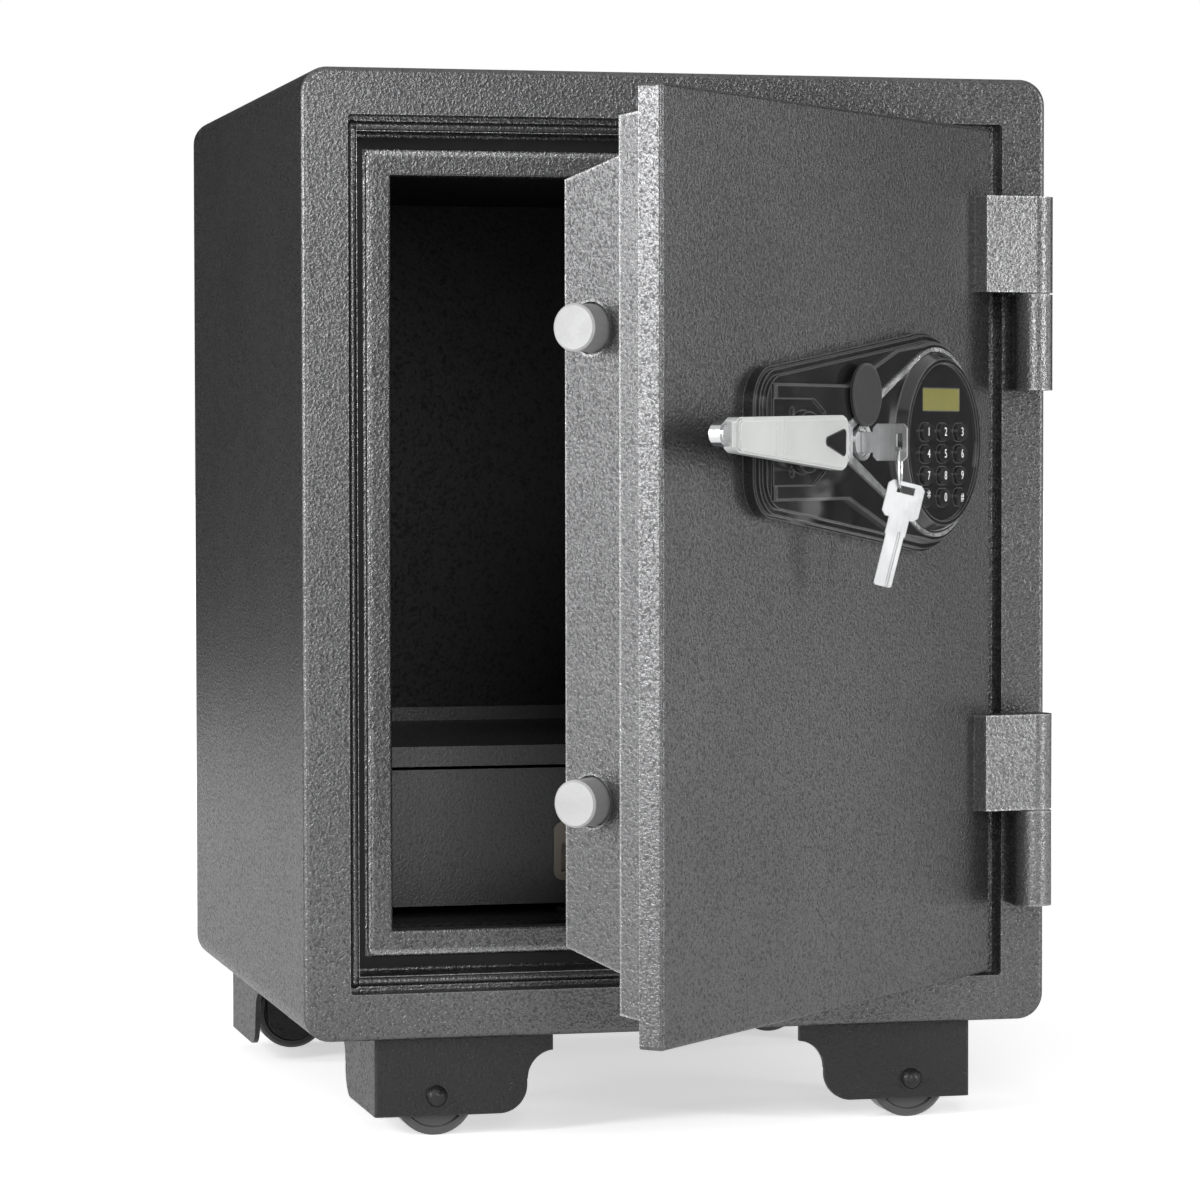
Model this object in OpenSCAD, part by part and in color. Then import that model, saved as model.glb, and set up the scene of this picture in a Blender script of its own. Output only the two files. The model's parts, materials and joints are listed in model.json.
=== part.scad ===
// Fireproof safe on castors: hinged stepped door with live bolts, keypad lock, lever, drawer.
// Millimetres. X to the right, Y to the back, Z up; the floor is Z = 0 under the cabinet's centre.

/* [Cabinet] */
// Width of the cabinet
body_w = 406; // [404:1:420]
// Height of the cabinet without the castors
body_h = 508; // [500:1:530]
// Depth of the cabinet without hinges and handle
body_d = 394; // [385:1:420]
// Height of the underside above the floor
leg_h = 53; // [52:0.5:56]
// Radius of the four lengthwise corners
corner_r = 14; // [10:1:16]
// Bend radius round the front edge
edge_r = 3; // [2:0.5:4]
// Thickness of the outer sheet
shell_t = 2; // [1.5:0.5:2]

/* [Door frame] */
// Width of the frame seen round the door
frame_w = 24.5; // [24:0.5:26]
// Depth of the first ledge
ledge_y = 16; // [15.5:0.5:17]
// Width of the first ledge
ledge_w = 7.5; // [7:0.5:7.5]
// Radius of the round bead on the ledge
bead_r = 2.4; // [2:0.2:2.4]
// Radius of the bead's corner balls
ball_r = 3.2; // [2.8:0.2:3.2]
// Width of the deep channel
channel_w = 9; // [8.5:0.5:9]
// Depth of the deep channel
channel_y = 43; // [42:0.5:44]
// Depth of the lip's front
lip_y = 36; // [35:0.5:37]
// Width of the lip
lip_w = 12.8; // [12:0.4:12.8]
// Thickness of the lip, front to back
lip_d = 10; // [9:0.5:10]
// Corner radius of the lip's outer edge
lip_r = 3.7; // [3:0.1:4]
// Radius of the lip's rolled edges
roll_r = 1.5; // [1.2:0.1:1.5]
// Thickness of the frame's sheet
sheet_t = 1.5; // [1.2:0.1:1.5]
// Height of the fire seal strip
seal_h = 2.5; // [2:0.5:3]

/* [Cavity] */
// Depth of the lining's front flange
pocket_y = 80; // [79.5:0.5:82]
// Side wall, outside to cavity
wall_x = 54; // [54:0.5:56]
// Floor and top wall, outside to cavity
wall_z = 52; // [51:0.5:53]
// Back wall, outside to cavity
wall_back = 44; // [40:1:48]
// Thickness of the lining
liner_t = 1.2; // [1:0.1:1.5]
// Top of the shelf above the underside
shelf_z = 145.5; // [143:0.5:148]
// Shelf front, from the front face
shelf_y = 118; // [116:0.5:120]
// Height of the shelf's folded front
shelf_fold = 11; // [9:0.5:12]
// Diameter of the floor anchor hole
anchor_d = 12.4; // [10.4:0.2:14.4]
// Anchor hole, from the front face
anchor_y = 120; // [119:1:160]
// Diameter of the ring round the anchor hole
ring_cover_d = 80; // [60:2:84]

/* [Drawer] */
// Height of the drawer front
drawer_h = 75.5; // [72:0.5:76]
// Gap between drawer front and shelf fold
drawer_gap = 2; // [1.5:0.5:3]
// Thickness of the drawer front
drawer_front_t = 2.5; // [2:0.5:3]
// Space between the drawer's back and the cavity's back
drawer_rear = 13; // [9:1:40]
// Height of the drawer sides
drawer_side_h = 58; // [40:1:60]
// Width of the flush pull
pull_w = 85; // [70:1:100]
// Height of the flush pull
pull_h = 32.4; // [28:0.2:34]
// Depth of the pull's cup
pull_cup = 14; // [10:1:20]

/* [Castors] */
// Front castors, inset from the cabinet's sides
caster_in_front = 39; // [36:1:42]
// Rear castors, inset from the cabinet's sides
caster_in_rear = 20; // [18:1:42]
// Castors, inset from the front and the back
caster_in_y = 10; // [8:1:14]
// Length of the bracket's cross plate
bracket_w = 96; // [92:1:100]
// Length of the bracket's side plate
bracket_l = 103; // [98:1:110]
// Height of the bracket plates
bracket_h = 42; // [40:0.5:44]
// Thickness of the bracket plates
bracket_t = 3; // [2.5:0.5:3]
// Radius of the wavy ends' curves
wave_r = 15; // [14:0.5:15]
// Diameter of the wheels
wheel_d = 43; // [42:0.5:44]
// Width of the wheels
wheel_w = 19; // [16:1:20]
// Diameter of the axles
axle_d = 8; // [7:0.5:9]
// Wheel centre, from the bracket's corner
wheel_x = 33; // [31:0.5:35]
// Diameter of the round axle heads
axle_head_d = 11.5; // [10:0.5:13]

/* [Door] */
// How far the door stands open, degrees
door_open = 46; // [40:1:60]
// Gap between door and frame at the sides
door_gap_x = 1.5; // [1.5:0.1:1.8]
// Gap between door and frame above and below
door_gap_z = 3.9; // [2.5:0.1:4.5]
// Thickness of the door's front plate
plate_d = 12.8; // [12:0.2:12.8]
// Bend radius of the front plate
plate_r = 2; // [1:0.5:2]
// Middle step, inset from the plate's edge
step_in = 11; // [10.8:0.1:11.4]
// Draft of the middle step
step_draft = 2.4; // [2:0.2:3]
// Depth of the middle step's rear face
step_y = 31; // [30:0.5:32]
// Inner plug, inset from the plate's edge
plug_in = 28.2; // [28.2:0.2:29.2]
// Draft of the inner plug
plug_draft = 12.4; // [12:0.2:14]
// Depth of the plug's rear face
plug_y = 77; // [76:0.5:78]

/* [Hinges] */
// Radius of the hinge barrels
barrel_r = 10.5; // [9.5:0.1:10.5]
// Barrel, in from the cabinet's side
barrel_in = 3.2; // [3:0.1:3.6]
// Hinge axis, in front of the front face
axis_out = 19.3; // [19:0.1:20]
// Height of each knuckle
knuckle_h = 51; // [46:1:54]
// Hinges, in from the cabinet's top and underside
hinge_in = 64.5; // [56:0.5:80]
// Diameter of the hinge pins
pin_d = 10; // [8:0.5:11]
// Thickness of the hinge washers
washer_t = 0.8; // [0.6:0.1:0.8]
// Reach of the door leaf past the barrel's centre
leaf_w = 32; // [28:1:34]
// Height of the leaf's foot above the door
leaf_t = 7.4; // [6:0.2:8]

/* [Bolt work] */
// Diameter of the live bolts
bolt_d = 23; // [20:0.5:23]
// Length of the live bolts
bolt_len = 75; // [72:1:78]
// Reach of the thrown bolts past the plug's side
bolt_throw = 16; // [15:0.5:17]
// Distance between the bolts
bolt_pitch = 227; // [210:1:230]
// Depth of the bolts' axis
bolt_y = 60; // [59.8:0.1:60.2]
// Diameter of the holes in the plug's side
bolt_hole_d = 25.4; // [24.4:0.2:26]
// Module of the rack and pinion
gear_m = 2; // [2:1:2]
// Teeth of the pinion
gear_n = 18; // [18:1:18]
// Backlash on each flank
gear_play = 0.2; // [0.15:0.05:0.3]

/* [Lock case and battery box] */
// Left side of the lock case from the middle
case_x = 14; // [13:1:20]
// Width of the lock case
case_w = 68; // [60:1:72]
// Top of the lock case above the lock's centre
case_up = 26; // [20:1:30]
// Bottom of the lock case below the lock's centre
case_down = 34; // [30:1:36]
// Depth of the lock case
case_d = 22; // [16:1:24]
// Diameter of the lock's motor
motor_d = 18; // [14:1:20]
// Length of the lock's motor
motor_l = 56; // [46:1:60]
// Width of the battery box
battery_w = 104; // [90:1:110]
// Height of the battery box
battery_h = 72; // [60:1:80]
// Depth of the battery box
battery_d = 22; // [18:1:24]
// Foot of the battery box above the door's middle
battery_up = 40; // [34:1:50]

/* [Lock panel] */
// Height of the lock's centre above the underside
lock_z = 312.8; // [300:0.2:330]
// Left end of the panel from the middle
panel_left = 99.4; // [96:0.2:104]
// Centre of the keypad from the middle
pad_x = 81.6; // [80:0.2:84]
// Radius of the panel round the keypad
panel_r = 56.5; // [55:0.5:58]
// Half height of the panel's left end
lobe_h = 37; // [34:0.5:40]
// Corner radius of the panel's left end
lobe_r = 20; // [16:1:24]
// Thickness of the panel base
base_t = 11; // [11:0.5:12]
// Height of the raised island
island_t = 3; // [2:0.5:3]
// Radius of the island round the keypad
island_r = 51.5; // [50:0.5:52]
// Half height of the island's band
band_h = 28.5; // [27:0.5:30]
// Half height of the sunk field round the lever
field_h = 21; // [19:0.5:22]
// Depth of the sunk field round the lever
field_t = 1.5; // [1:0.1:2]
// Radius of the bright drop round the keypad
drop_r = 48.6; // [48:0.2:50]
// Left end of the bright drop from the middle
drop_left = 17.6; // [16:0.2:18]
// Width of the bright drop's band
drop_w = 5; // [4:0.5:6]
// Radius of the keypad body at the island
pad_foot = 46.6; // [46:0.2:47]
// Radius of the keypad body at its front
pad_rim = 42.8; // [42.6:0.1:43.2]
// Radius of the keypad face
pad_r = 40.5; // [40.4:0.1:41]
// Height of the keypad body above the island
rim_t = 5.5; // [5:0.5:6]
// Sink of the keypad face below its rim
pad_sink = 1.5; // [1:0.1:1.5]
// Width of a key
key_w = 13; // [11:0.5:13]
// Height of a key
key_h = 8.4; // [8:0.1:8.6]
// Key pitch across
key_px = 19.6; // [17:0.2:19.6]
// Key pitch down
key_pz = 11.2; // [10.8:0.1:11.4]
// How far a key stands proud
key_up = 2.2; // [1.8:0.1:2.4]
// Press travel of a key
key_go = 1; // [0.8:0.1:1]
// Width of the display window
lcd_w = 42.5; // [36:0.5:44]
// Height of the display window
lcd_h = 11.3; // [10:0.1:12]

/* [Handle] */
// Lever pivot from the middle
lever_x = 61.5; // [58:0.5:64]
// Half height of the lever's wide end
lever_r = 13.4; // [12:0.1:14]
// Radius of the lever's corners
lever_c = 5; // [4:0.5:6]
// Length of the grip from the pivot
lever_len = 100; // [94:1:104]
// Half height of the grip's narrow end
lever_tip = 8.3; // [7:0.1:9]
// How far the lever's end rests above level, degrees
lever_tilt = 2; // [0:0.5:4]
// Thickness of the grip
lever_t = 9; // [8:0.5:10]
// Gap between the grip and the island
lever_gap = 9; // [8:0.5:11]
// Length of the bright tip
tip_len = 15; // [12:1:18]
// Diameter of the spindle
spindle_d = 10; // [8:0.5:11]

/* [Keys and cover] */
// Override lock from the middle
plug_x = 0.5; // [0:0.5:2]
// Diameter of the lock plug
lock_d = 14; // [12:0.5:15]
// Diameter of the key cover disc
cover_d = 31.6; // [30:0.2:32]
// Thickness of the key cover disc
cover_t = 2; // [1.5:0.5:2]
// Pivot of the key cover above the lock
cover_up = 11.8; // [11.6:0.1:12]
// Side of the key's square bow
bow = 18.5; // [17:0.1:19]
// Thickness of a key
key_t = 2.2; // [1.8:0.1:2.4]
// Whole length of a key
key_len = 53; // [48:1:56]
// Width of a key's neck
neck_w = 10.4; // [10:0.2:10.6]
// Width of a key's blade
blade_w = 9.2; // [8.4:0.2:9.6]
// Mean diameter of the key ring
loop_d = 19.2; // [18:0.2:22]
// Wire of the key ring
wire_d = 1.6; // [1.4:0.1:1.8]
// Turn of the ring about the vertical, degrees
loop_turn = 22; // [10:1:30]
// Turn of the spare key about the vertical, degrees
spare_turn = -59.5; // [-65:0.5:-55]
// Lean of the spare key, degrees
spare_lean = 14; // [0:1:16]

/* [Hidden] */
$fn = 48;
over = 1;
clear_run = 0.05;
grey = "#6f7174";
dark_grey = "#4c4e51";
black = "#1b1c1e";
bright = "#d4d6d8";

open_w = body_w - 2 * frame_w;
open_h = body_h - 2 * frame_w;
mid_z = body_h / 2;
wall2_in = frame_w + ledge_w;
lip_in = wall2_in + channel_w;
hinge_x = body_w / 2 - barrel_in - barrel_r;
hinge_y = -axis_out;
plate_w = open_w - 2 * door_gap_x;
plate_h = open_h - 2 * door_gap_z;
cav_w = body_w - 2 * wall_x;
cav_h = body_h - 2 * wall_z;
cav_y = body_d - wall_back;
back_t = 1.5;
back_y = body_d - 2.5;
wheel_r = wheel_d / 2;
wheel_drop = leg_h - wheel_r;
shelf_half = cav_w / 2 - 0.4;
shelf_lip = 8;
runner_t = 1.2;
runner_w = 10;
runner_z = wall_z + 6;
drawer_half = cav_w / 2 - runner_t - 1.3;
drawer_top = shelf_z - shelf_fold - drawer_gap;
drawer_z = drawer_top - drawer_h;
drawer_y = shelf_y + 2.5;
slide_gap = 0.3;
pull_z = drawer_z + 12.9;
pull_t = 2;
drawer_end = cav_y - drawer_rear;
runner_end = cav_y - 6;
pull_wall = 1.5;
knuckle_gap = washer_t + 0.2;
leaf_foot = axis_out - leaf_t;
leaf_turn = atan2(leaf_foot, -leaf_w) + acos(barrel_r / norm([leaf_w, leaf_foot]));
plug_rise = plug_y - step_y;
hole_in = plug_in + plug_draft * (bolt_y - step_y) / plug_rise;
bolt_end = -plate_w / 2 + hole_in - bolt_throw;
bolt_tail = bolt_end + bolt_len;
chassis_y = 44;
chassis_t = 2;
bar_t = 6;
gear_y = chassis_y + chassis_t + 1.5;
gear_t = 5;
gear_r = gear_m * gear_n / 2;
rack_z = lock_z - gear_r;
spigot_d = 10;
cover_pin = 4;
nut_d = 18.4;
island_y = -base_t - island_t;
trim_t = 0.9;
pad_y = island_y - rim_t + pad_sink;
lcd_x = pad_x - 0.8;
lcd_z = 16.2;
escutcheon_d = 18.4;
lever_y = island_y - lever_gap;
lever_e = 7.4;
tip_r = 5.7;
key_z = lock_z - 17.2;
key_depth = 3.3;
slot_l = 8.6;
slot_s = 3.6;
slot_edge = 4;
key_out = 6.4;
bow_y = island_y - key_out;
hang_y = bow_y - bow + slot_edge;
hang_z = lock_z - slot_l / 2 + wire_d / 2 + slide_gap;
loop_z = hang_z - loop_d / 2;
spare_z = loop_z - loop_d / 2;

// Places
module in_body() { translate([0, -body_d / 2, leg_h]) children(); }
module in_door() {
    in_body() translate([hinge_x, hinge_y, 0]) rotate([0, 0, door_open]) translate([-hinge_x, -hinge_y, 0])
        children();
}

// Shapes
module along_y(y0, y1) {
    translate([0, y1, 0]) rotate([90, 0, 0]) linear_extrude(y1 - y0) children();
}
module slab(x0, x1, y0, y1, z0, z1) { translate([x0, y0, z0]) cube([x1 - x0, y1 - y0, z1 - z0]); }
module rod_x(x0, x1, d) { translate([x0, 0, 0]) rotate([0, 90, 0]) cylinder(h = x1 - x0, d = d); }
module rod_y(y0, y1, d) { translate([0, y0, 0]) rotate([-90, 0, 0]) cylinder(h = y1 - y0, d = d); }
module rrect(w, h, r) {
    square([w - 2 * r, h], center = true);
    square([w, h - 2 * r], center = true);
    for (x = [-1, 1], z = [-1, 1]) translate([x * (w / 2 - r), z * (h / 2 - r)]) circle(r);
}
module face(w, h, r = 0) {
    translate([0, mid_z]) if (r > 0) rrect(w, h, r); else square([w, h], center = true);
}
module ring_xz(in0, in1, y0, y1, r = 0) {
    along_y(y0, y1) difference() {
        face(body_w - 2 * in0, body_h - 2 * in0, r);
        face(body_w - 2 * in1, body_h - 2 * in1);
    }
}
module bead_xz(inset, y, r, ball) {
    w = body_w - 2 * inset;
    h = body_h - 2 * inset;
    for (s = [-1, 1]) {
        translate([0, y, mid_z + s * h / 2]) rod_x(-w / 2, w / 2, 2 * r);
        translate([s * w / 2, y, mid_z - h / 2]) cylinder(h = h, r = r);
        for (t = [-1, 1]) translate([s * w / 2, y, mid_z + t * h / 2]) sphere(ball);
    }
}
module quarter_disc(r) {
    intersection() {
        circle(r);
        translate([0, -r]) square(r);
    }
}
// Strip as deep as the rounding, from 0 to r, rounded at its far front corner
module soft_strip(r, e) {
    if (r > e) square([r - e, e]);
    translate([r - e, e]) quarter_disc(e);
}
// Box whose front edge is rounded all round: one layer as deep as the rounding, and the box behind it
module soft_front(w, h, d, r, e) {
    along_y(e, d) face(w, h, r);
    translate([r - w / 2, 0, mid_z]) rotate([0, 90, 0]) linear_extrude(w - 2 * r) union() {
        translate([e - h / 2, 0]) square([h - 2 * e, e]);
        for (s = [0, 1]) mirror([s, 0]) translate([h / 2 - e, e]) quarter_disc(e);
    }
    for (s = [0, 1]) mirror([s, 0, 0]) {
        translate([w / 2 - r, 0, mid_z - h / 2 + r]) linear_extrude(h - 2 * r) soft_strip(r, e);
        for (t = [0, 1]) translate([0, 0, mid_z]) mirror([0, 0, t]) translate([w / 2 - r, 0, h / 2 - r])
            rotate([-90, -90, 0]) rotate_extrude(angle = 90) soft_strip(r, e);
    }
}
module drafted(in0, in1, y0, y1) {
    hull() {
        along_y(y0, y0 + 0.01) face(plate_w - 2 * in0, plate_h - 2 * in0);
        along_y(y1 - 0.01, y1) face(plate_w - 2 * in1, plate_h - 2 * in1);
    }
}

// Cabinet
module outer_shell() {
    color(grey) in_body() difference() {
        soft_front(body_w, body_h, body_d, corner_r, edge_r);
        along_y(shell_t, body_d + over) face(body_w - 2 * shell_t, body_h - 2 * shell_t, corner_r - shell_t);
        along_y(-over, shell_t + over) face(open_w, open_h, 2);
        translate([0, anchor_y, -over]) cylinder(h = shell_t + 2 * over, d = anchor_d);
    }
}
module back_panel() {
    rib_in = 40;
    color(dark_grey) in_body() {
        along_y(back_y - back_t, back_y)
            face(body_w - 2 * shell_t, body_h - 2 * shell_t, corner_r - shell_t);
        ring_xz(rib_in, rib_in + 10, back_y, back_y + 1, 6);
    }
}
module body_fill() {
    color("#d9d4c6") in_body() difference() {
        along_y(shell_t, back_y - back_t) face(body_w - 2 * shell_t, body_h - 2 * shell_t, corner_r - shell_t);
        along_y(0, ledge_y + ball_r) face(open_w + 2 * sheet_t, open_h + 2 * sheet_t);
        along_y(ledge_y, pocket_y + liner_t)
            face(body_w - 2 * (wall2_in - sheet_t), body_h - 2 * (wall2_in - sheet_t));
        along_y(pocket_y, cav_y + liner_t) face(cav_w + 2 * liner_t, cav_h + 2 * liner_t);
        translate([0, anchor_y, 0]) cylinder(h = wall_z, d = anchor_d + 4);
    }
}
module rebate_frame() {
    bead_in = frame_w + 0.6 + bead_r + 1.8;
    color(grey) in_body() {
        ring_xz(frame_w - sheet_t, frame_w, shell_t, ledge_y);
        ring_xz(frame_w - sheet_t, wall2_in, ledge_y, ledge_y + sheet_t);
        bead_xz(bead_in, ledge_y, bead_r, ball_r);
        ring_xz(wall2_in - sheet_t, wall2_in, ledge_y + sheet_t, channel_y);
        ring_xz(wall2_in - sheet_t, lip_in + sheet_t, channel_y, channel_y + sheet_t);
        ring_xz(lip_in, lip_in + sheet_t, lip_y + roll_r, channel_y, lip_r);
        ring_xz(lip_in + roll_r, lip_in + lip_w - roll_r, lip_y, lip_y + sheet_t, lip_r - roll_r);
        ring_xz(lip_in, lip_in + lip_w, lip_y + roll_r, lip_y + roll_r + sheet_t, lip_r);
        bead_xz(lip_in + lip_w - roll_r, lip_y + roll_r, roll_r, roll_r);
        ring_xz(lip_in + lip_w - sheet_t, lip_in + lip_w, lip_y + roll_r, lip_y + lip_d);
    }
}
module fire_seal() {
    color(black) in_body() ring_xz(wall2_in + 1.5, lip_in - 1.5, channel_y - seal_h, channel_y);
}
module inner_liner() {
    color(black) in_body() difference() {
        union() {
            ring_xz(wall2_in - sheet_t, wall2_in, channel_y + sheet_t, pocket_y);
            along_y(pocket_y, pocket_y + liner_t)
                face(body_w - 2 * (wall2_in - sheet_t), body_h - 2 * (wall2_in - sheet_t));
            along_y(pocket_y, cav_y + liner_t) face(cav_w + 2 * liner_t, cav_h + 2 * liner_t);
        }
        along_y(pocket_y - over, cav_y) face(cav_w, cav_h);
        translate([0, anchor_y, wall_z - 2 * liner_t]) cylinder(h = 3 * liner_t, d = anchor_d + 4);
    }
}
module shelf() {
    rear = cav_y - 5;
    color(dark_grey) in_body() {
        slab(-shelf_half, shelf_half, shelf_y, rear, shelf_z - sheet_t, shelf_z);
        slab(-shelf_half, shelf_half, shelf_y, shelf_y + sheet_t, shelf_z - shelf_fold, shelf_z);
        slab(-shelf_half, shelf_half, shelf_y, shelf_y + shelf_lip, shelf_z - shelf_fold,
            shelf_z - shelf_fold + sheet_t);
        slab(-shelf_half, shelf_half, rear - sheet_t, rear, shelf_z, shelf_z + shelf_lip);
    }
}
module drawer_runners() {
    front = drawer_y + drawer_front_t + 1.5;
    seat = shelf_z - sheet_t;
    color(dark_grey) in_body() for (s = [0, 1]) mirror([s, 0, 0]) {
        x = cav_w / 2;
        slab(x - runner_t, x, front, runner_end, runner_z, seat);
        slab(x - runner_w, x, shelf_y + shelf_lip + over, runner_end, seat - runner_t, seat);
        slab(x - runner_w, x, front, runner_end, runner_z, runner_z + runner_t);
        slab(x - runner_w, x, runner_end - runner_t, runner_end, runner_z, seat);
    }
}
module anchor_cover() {
    bump_r = 1.25;
    color(dark_grey) in_body() translate([0, anchor_y, 0]) difference() {
        union() {
            translate([0, 0, shell_t]) cylinder(h = wall_z - shell_t, d = anchor_d + 4);
            translate([0, 0, wall_z]) cylinder(h = 1, d = ring_cover_d);
            translate([0, 0, wall_z + bump_r]) rotate_extrude() {
                translate([ring_cover_d / 2 - bump_r, 0]) circle(bump_r);
                translate([ring_cover_d / 2 - 9, 0]) circle(bump_r);
            }
            translate([0, 0, wall_z]) cylinder(h = 2.6, d = anchor_d + 10);
        }
        cylinder(h = wall_z + 5, d = anchor_d);
    }
}

// Hinges
module knuckle(z, leaf) {
    translate([hinge_x, hinge_y, z]) {
        cylinder(h = knuckle_h, r = barrel_r);
        if (leaf) linear_extrude(knuckle_h) polygon([[-leaf_w, axis_out], [-leaf_w, leaf_foot],
            (barrel_r - 0.4) * [cos(leaf_turn), sin(leaf_turn)], [0, 0], [0, barrel_r - 1],
            [plate_w / 2 - hinge_x, axis_out]]);
        else slab(-barrel_r + 1.2, barrel_r, 0, axis_out, 0, knuckle_h);
    }
}
module hinge_base(z) {
    color(dark_grey) in_body() difference() {
        knuckle(z, false);
        translate([hinge_x, hinge_y, z + 6]) cylinder(h = knuckle_h, d = pin_d);
    }
}
module hinge_pin(z) {
    color(bright) in_body() translate([hinge_x, hinge_y, z]) {
        translate([0, 0, 6]) cylinder(h = 2 * knuckle_h + knuckle_gap - 14, d = pin_d);
        translate([0, 0, knuckle_h]) cylinder(h = washer_t, r = barrel_r - 1.5);
    }
}
module hinge_leaf(z) {
    color(grey) in_door() difference() {
        knuckle(z + knuckle_h + knuckle_gap, true);
        translate([hinge_x, hinge_y, z + knuckle_h]) cylinder(h = knuckle_h - 6, d = pin_d + 2 * clear_run);
    }
}
upper_hinge = body_h - hinge_in - 2 * knuckle_h - knuckle_gap;
module hinge_base_upper() { hinge_base(upper_hinge); }
module hinge_base_lower() { hinge_base(hinge_in); }
module hinge_pin_upper() { hinge_pin(upper_hinge); }
module hinge_pin_lower() { hinge_pin(hinge_in); }
module hinge_leaf_upper() { hinge_leaf(upper_hinge); }
module hinge_leaf_lower() { hinge_leaf(hinge_in); }

// Castors
module wavy(len) {
    ear = 9;
    neck = len - wave_r + 1;
    difference() {
        union() {
            translate([2, -bracket_h]) square([neck - wave_r - 2, bracket_h]);
            translate([2, -ear]) square([len - 2, ear]);
            translate([2, wave_r - bracket_h]) square([neck - 2, bracket_h - wave_r]);
            translate([neck - 1, -ear - wave_r]) square([len - neck + 1, wave_r + ear]);
            translate([neck - wave_r, wave_r - bracket_h]) circle(wave_r);
        }
        translate([len + 1.3, -ear - wave_r]) circle(wave_r);
    }
}
module caster_shape() {
    fork = bracket_t + wheel_w + 3;
    rotate([90, 0, 0]) translate([0, 0, -bracket_t]) linear_extrude(bracket_t) wavy(bracket_w);
    mirror([1, -1, 0]) rotate([90, 0, 0]) translate([0, 0, -bracket_t]) linear_extrude(bracket_t)
        wavy(bracket_l);
    translate([2, 2, -bracket_h]) cylinder(h = bracket_h, r = 2);
    slab(1, bracket_w - 14, 1, fork + bracket_t + 30, -bracket_t, 0);
    slab(wheel_x - 16, wheel_x + 16, fork, fork + bracket_t, -wheel_drop, -1);
    translate([wheel_x, 0, -wheel_drop]) rod_y(fork, fork + bracket_t, 32);
    translate([wheel_x, 0, -wheel_drop]) {
        rod_y(0, fork + bracket_t + 2, axle_d);
        rod_y(-1, 0, axle_head_d);
        translate([0, -1, 0]) intersection() {
            translate([0, 2, 0]) sphere(sqrt(4 + axle_head_d * axle_head_d / 4));
            rod_y(-8, 0, axle_head_d);
        }
    }
}
module wheel_shape() {
    bevel = 1.6;
    translate([wheel_x, bracket_t + 1.5, -wheel_drop]) rotate([-90, 0, 0]) rotate_extrude($fn = 96) polygon([
        [axle_d / 2 + clear_run, 0], [8, 0], [9, 1.5], [wheel_r - 5, 1.5], [wheel_r - 4, 0],
        [wheel_r - bevel, 0], [wheel_r, bevel], [wheel_r, wheel_w - bevel], [wheel_r - bevel, wheel_w],
        [wheel_r - 4, wheel_w], [wheel_r - 5, wheel_w - 1.5], [9, wheel_w - 1.5], [8, wheel_w],
        [axle_d / 2 + clear_run, wheel_w]]);
}
// Puts a front-left castor at any corner
module at_corner(right, rear) {
    inset = rear ? caster_in_rear : caster_in_front;
    in_body() mirror([right ? 1 : 0, 0, 0]) translate([0, rear ? body_d : 0, 0]) mirror([0, rear ? 1 : 0, 0])
        translate([inset - body_w / 2, caster_in_y, 0]) children();
}
module caster_front_left() { color(dark_grey) at_corner(false, false) caster_shape(); }
module caster_front_right() { color(dark_grey) at_corner(true, false) caster_shape(); }
module caster_rear_left() { color(dark_grey) at_corner(false, true) caster_shape(); }
module caster_rear_right() { color(dark_grey) at_corner(true, true) caster_shape(); }
module wheel_front_left() { color(black) at_corner(false, false) wheel_shape(); }
module wheel_front_right() { color(black) at_corner(true, false) wheel_shape(); }
module wheel_rear_left() { color(black) at_corner(false, true) wheel_shape(); }
module wheel_rear_right() { color(black) at_corner(true, true) wheel_shape(); }

// Drawer
module drawer_box() {
    y0 = drawer_y + drawer_front_t;
    z0 = runner_z + runner_t + slide_gap;
    t = runner_t;
    color(dark_grey) in_body() difference() {
        slab(-drawer_half, drawer_half, y0, drawer_end, z0, z0 + drawer_side_h);
        slab(t - drawer_half, drawer_half - t, y0 + t, drawer_end - t, z0 + t, z0 + drawer_side_h + over);
        slab(-pull_w / 2 + 2, pull_w / 2 - 2, y0 - over, y0 + t + over, pull_z + 2, pull_z + pull_h - 9);
    }
}
module drawer_front() {
    color(dark_grey) in_body() difference() {
        along_y(drawer_y, drawer_y + drawer_front_t) translate([0, drawer_z + drawer_h / 2])
            rrect(2 * drawer_half + 1.5, drawer_h, 5);
        slab(-pull_w / 2 + 2, pull_w / 2 - 2, drawer_y - over, drawer_y + drawer_front_t + over,
            pull_z + 2, pull_z + pull_h - 9);
    }
}
module drawer_pull() {
    top = pull_z + pull_h - 12;
    color("#a08d72") in_body() difference() {
        union() {
            along_y(drawer_y - pull_t, drawer_y) translate([0, pull_z + pull_h / 2]) rrect(pull_w, pull_h, 5);
            slab(-pull_w / 2 + 2.3, pull_w / 2 - 2.3, drawer_y, drawer_y + pull_cup, pull_z + 2.3, top + 2.7);
        }
        slab(-pull_w / 2 + 4, pull_w / 2 - 4, drawer_y - pull_t - over, drawer_y + pull_cup - pull_wall,
            pull_z + 4.4, top);
    }
}

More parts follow.
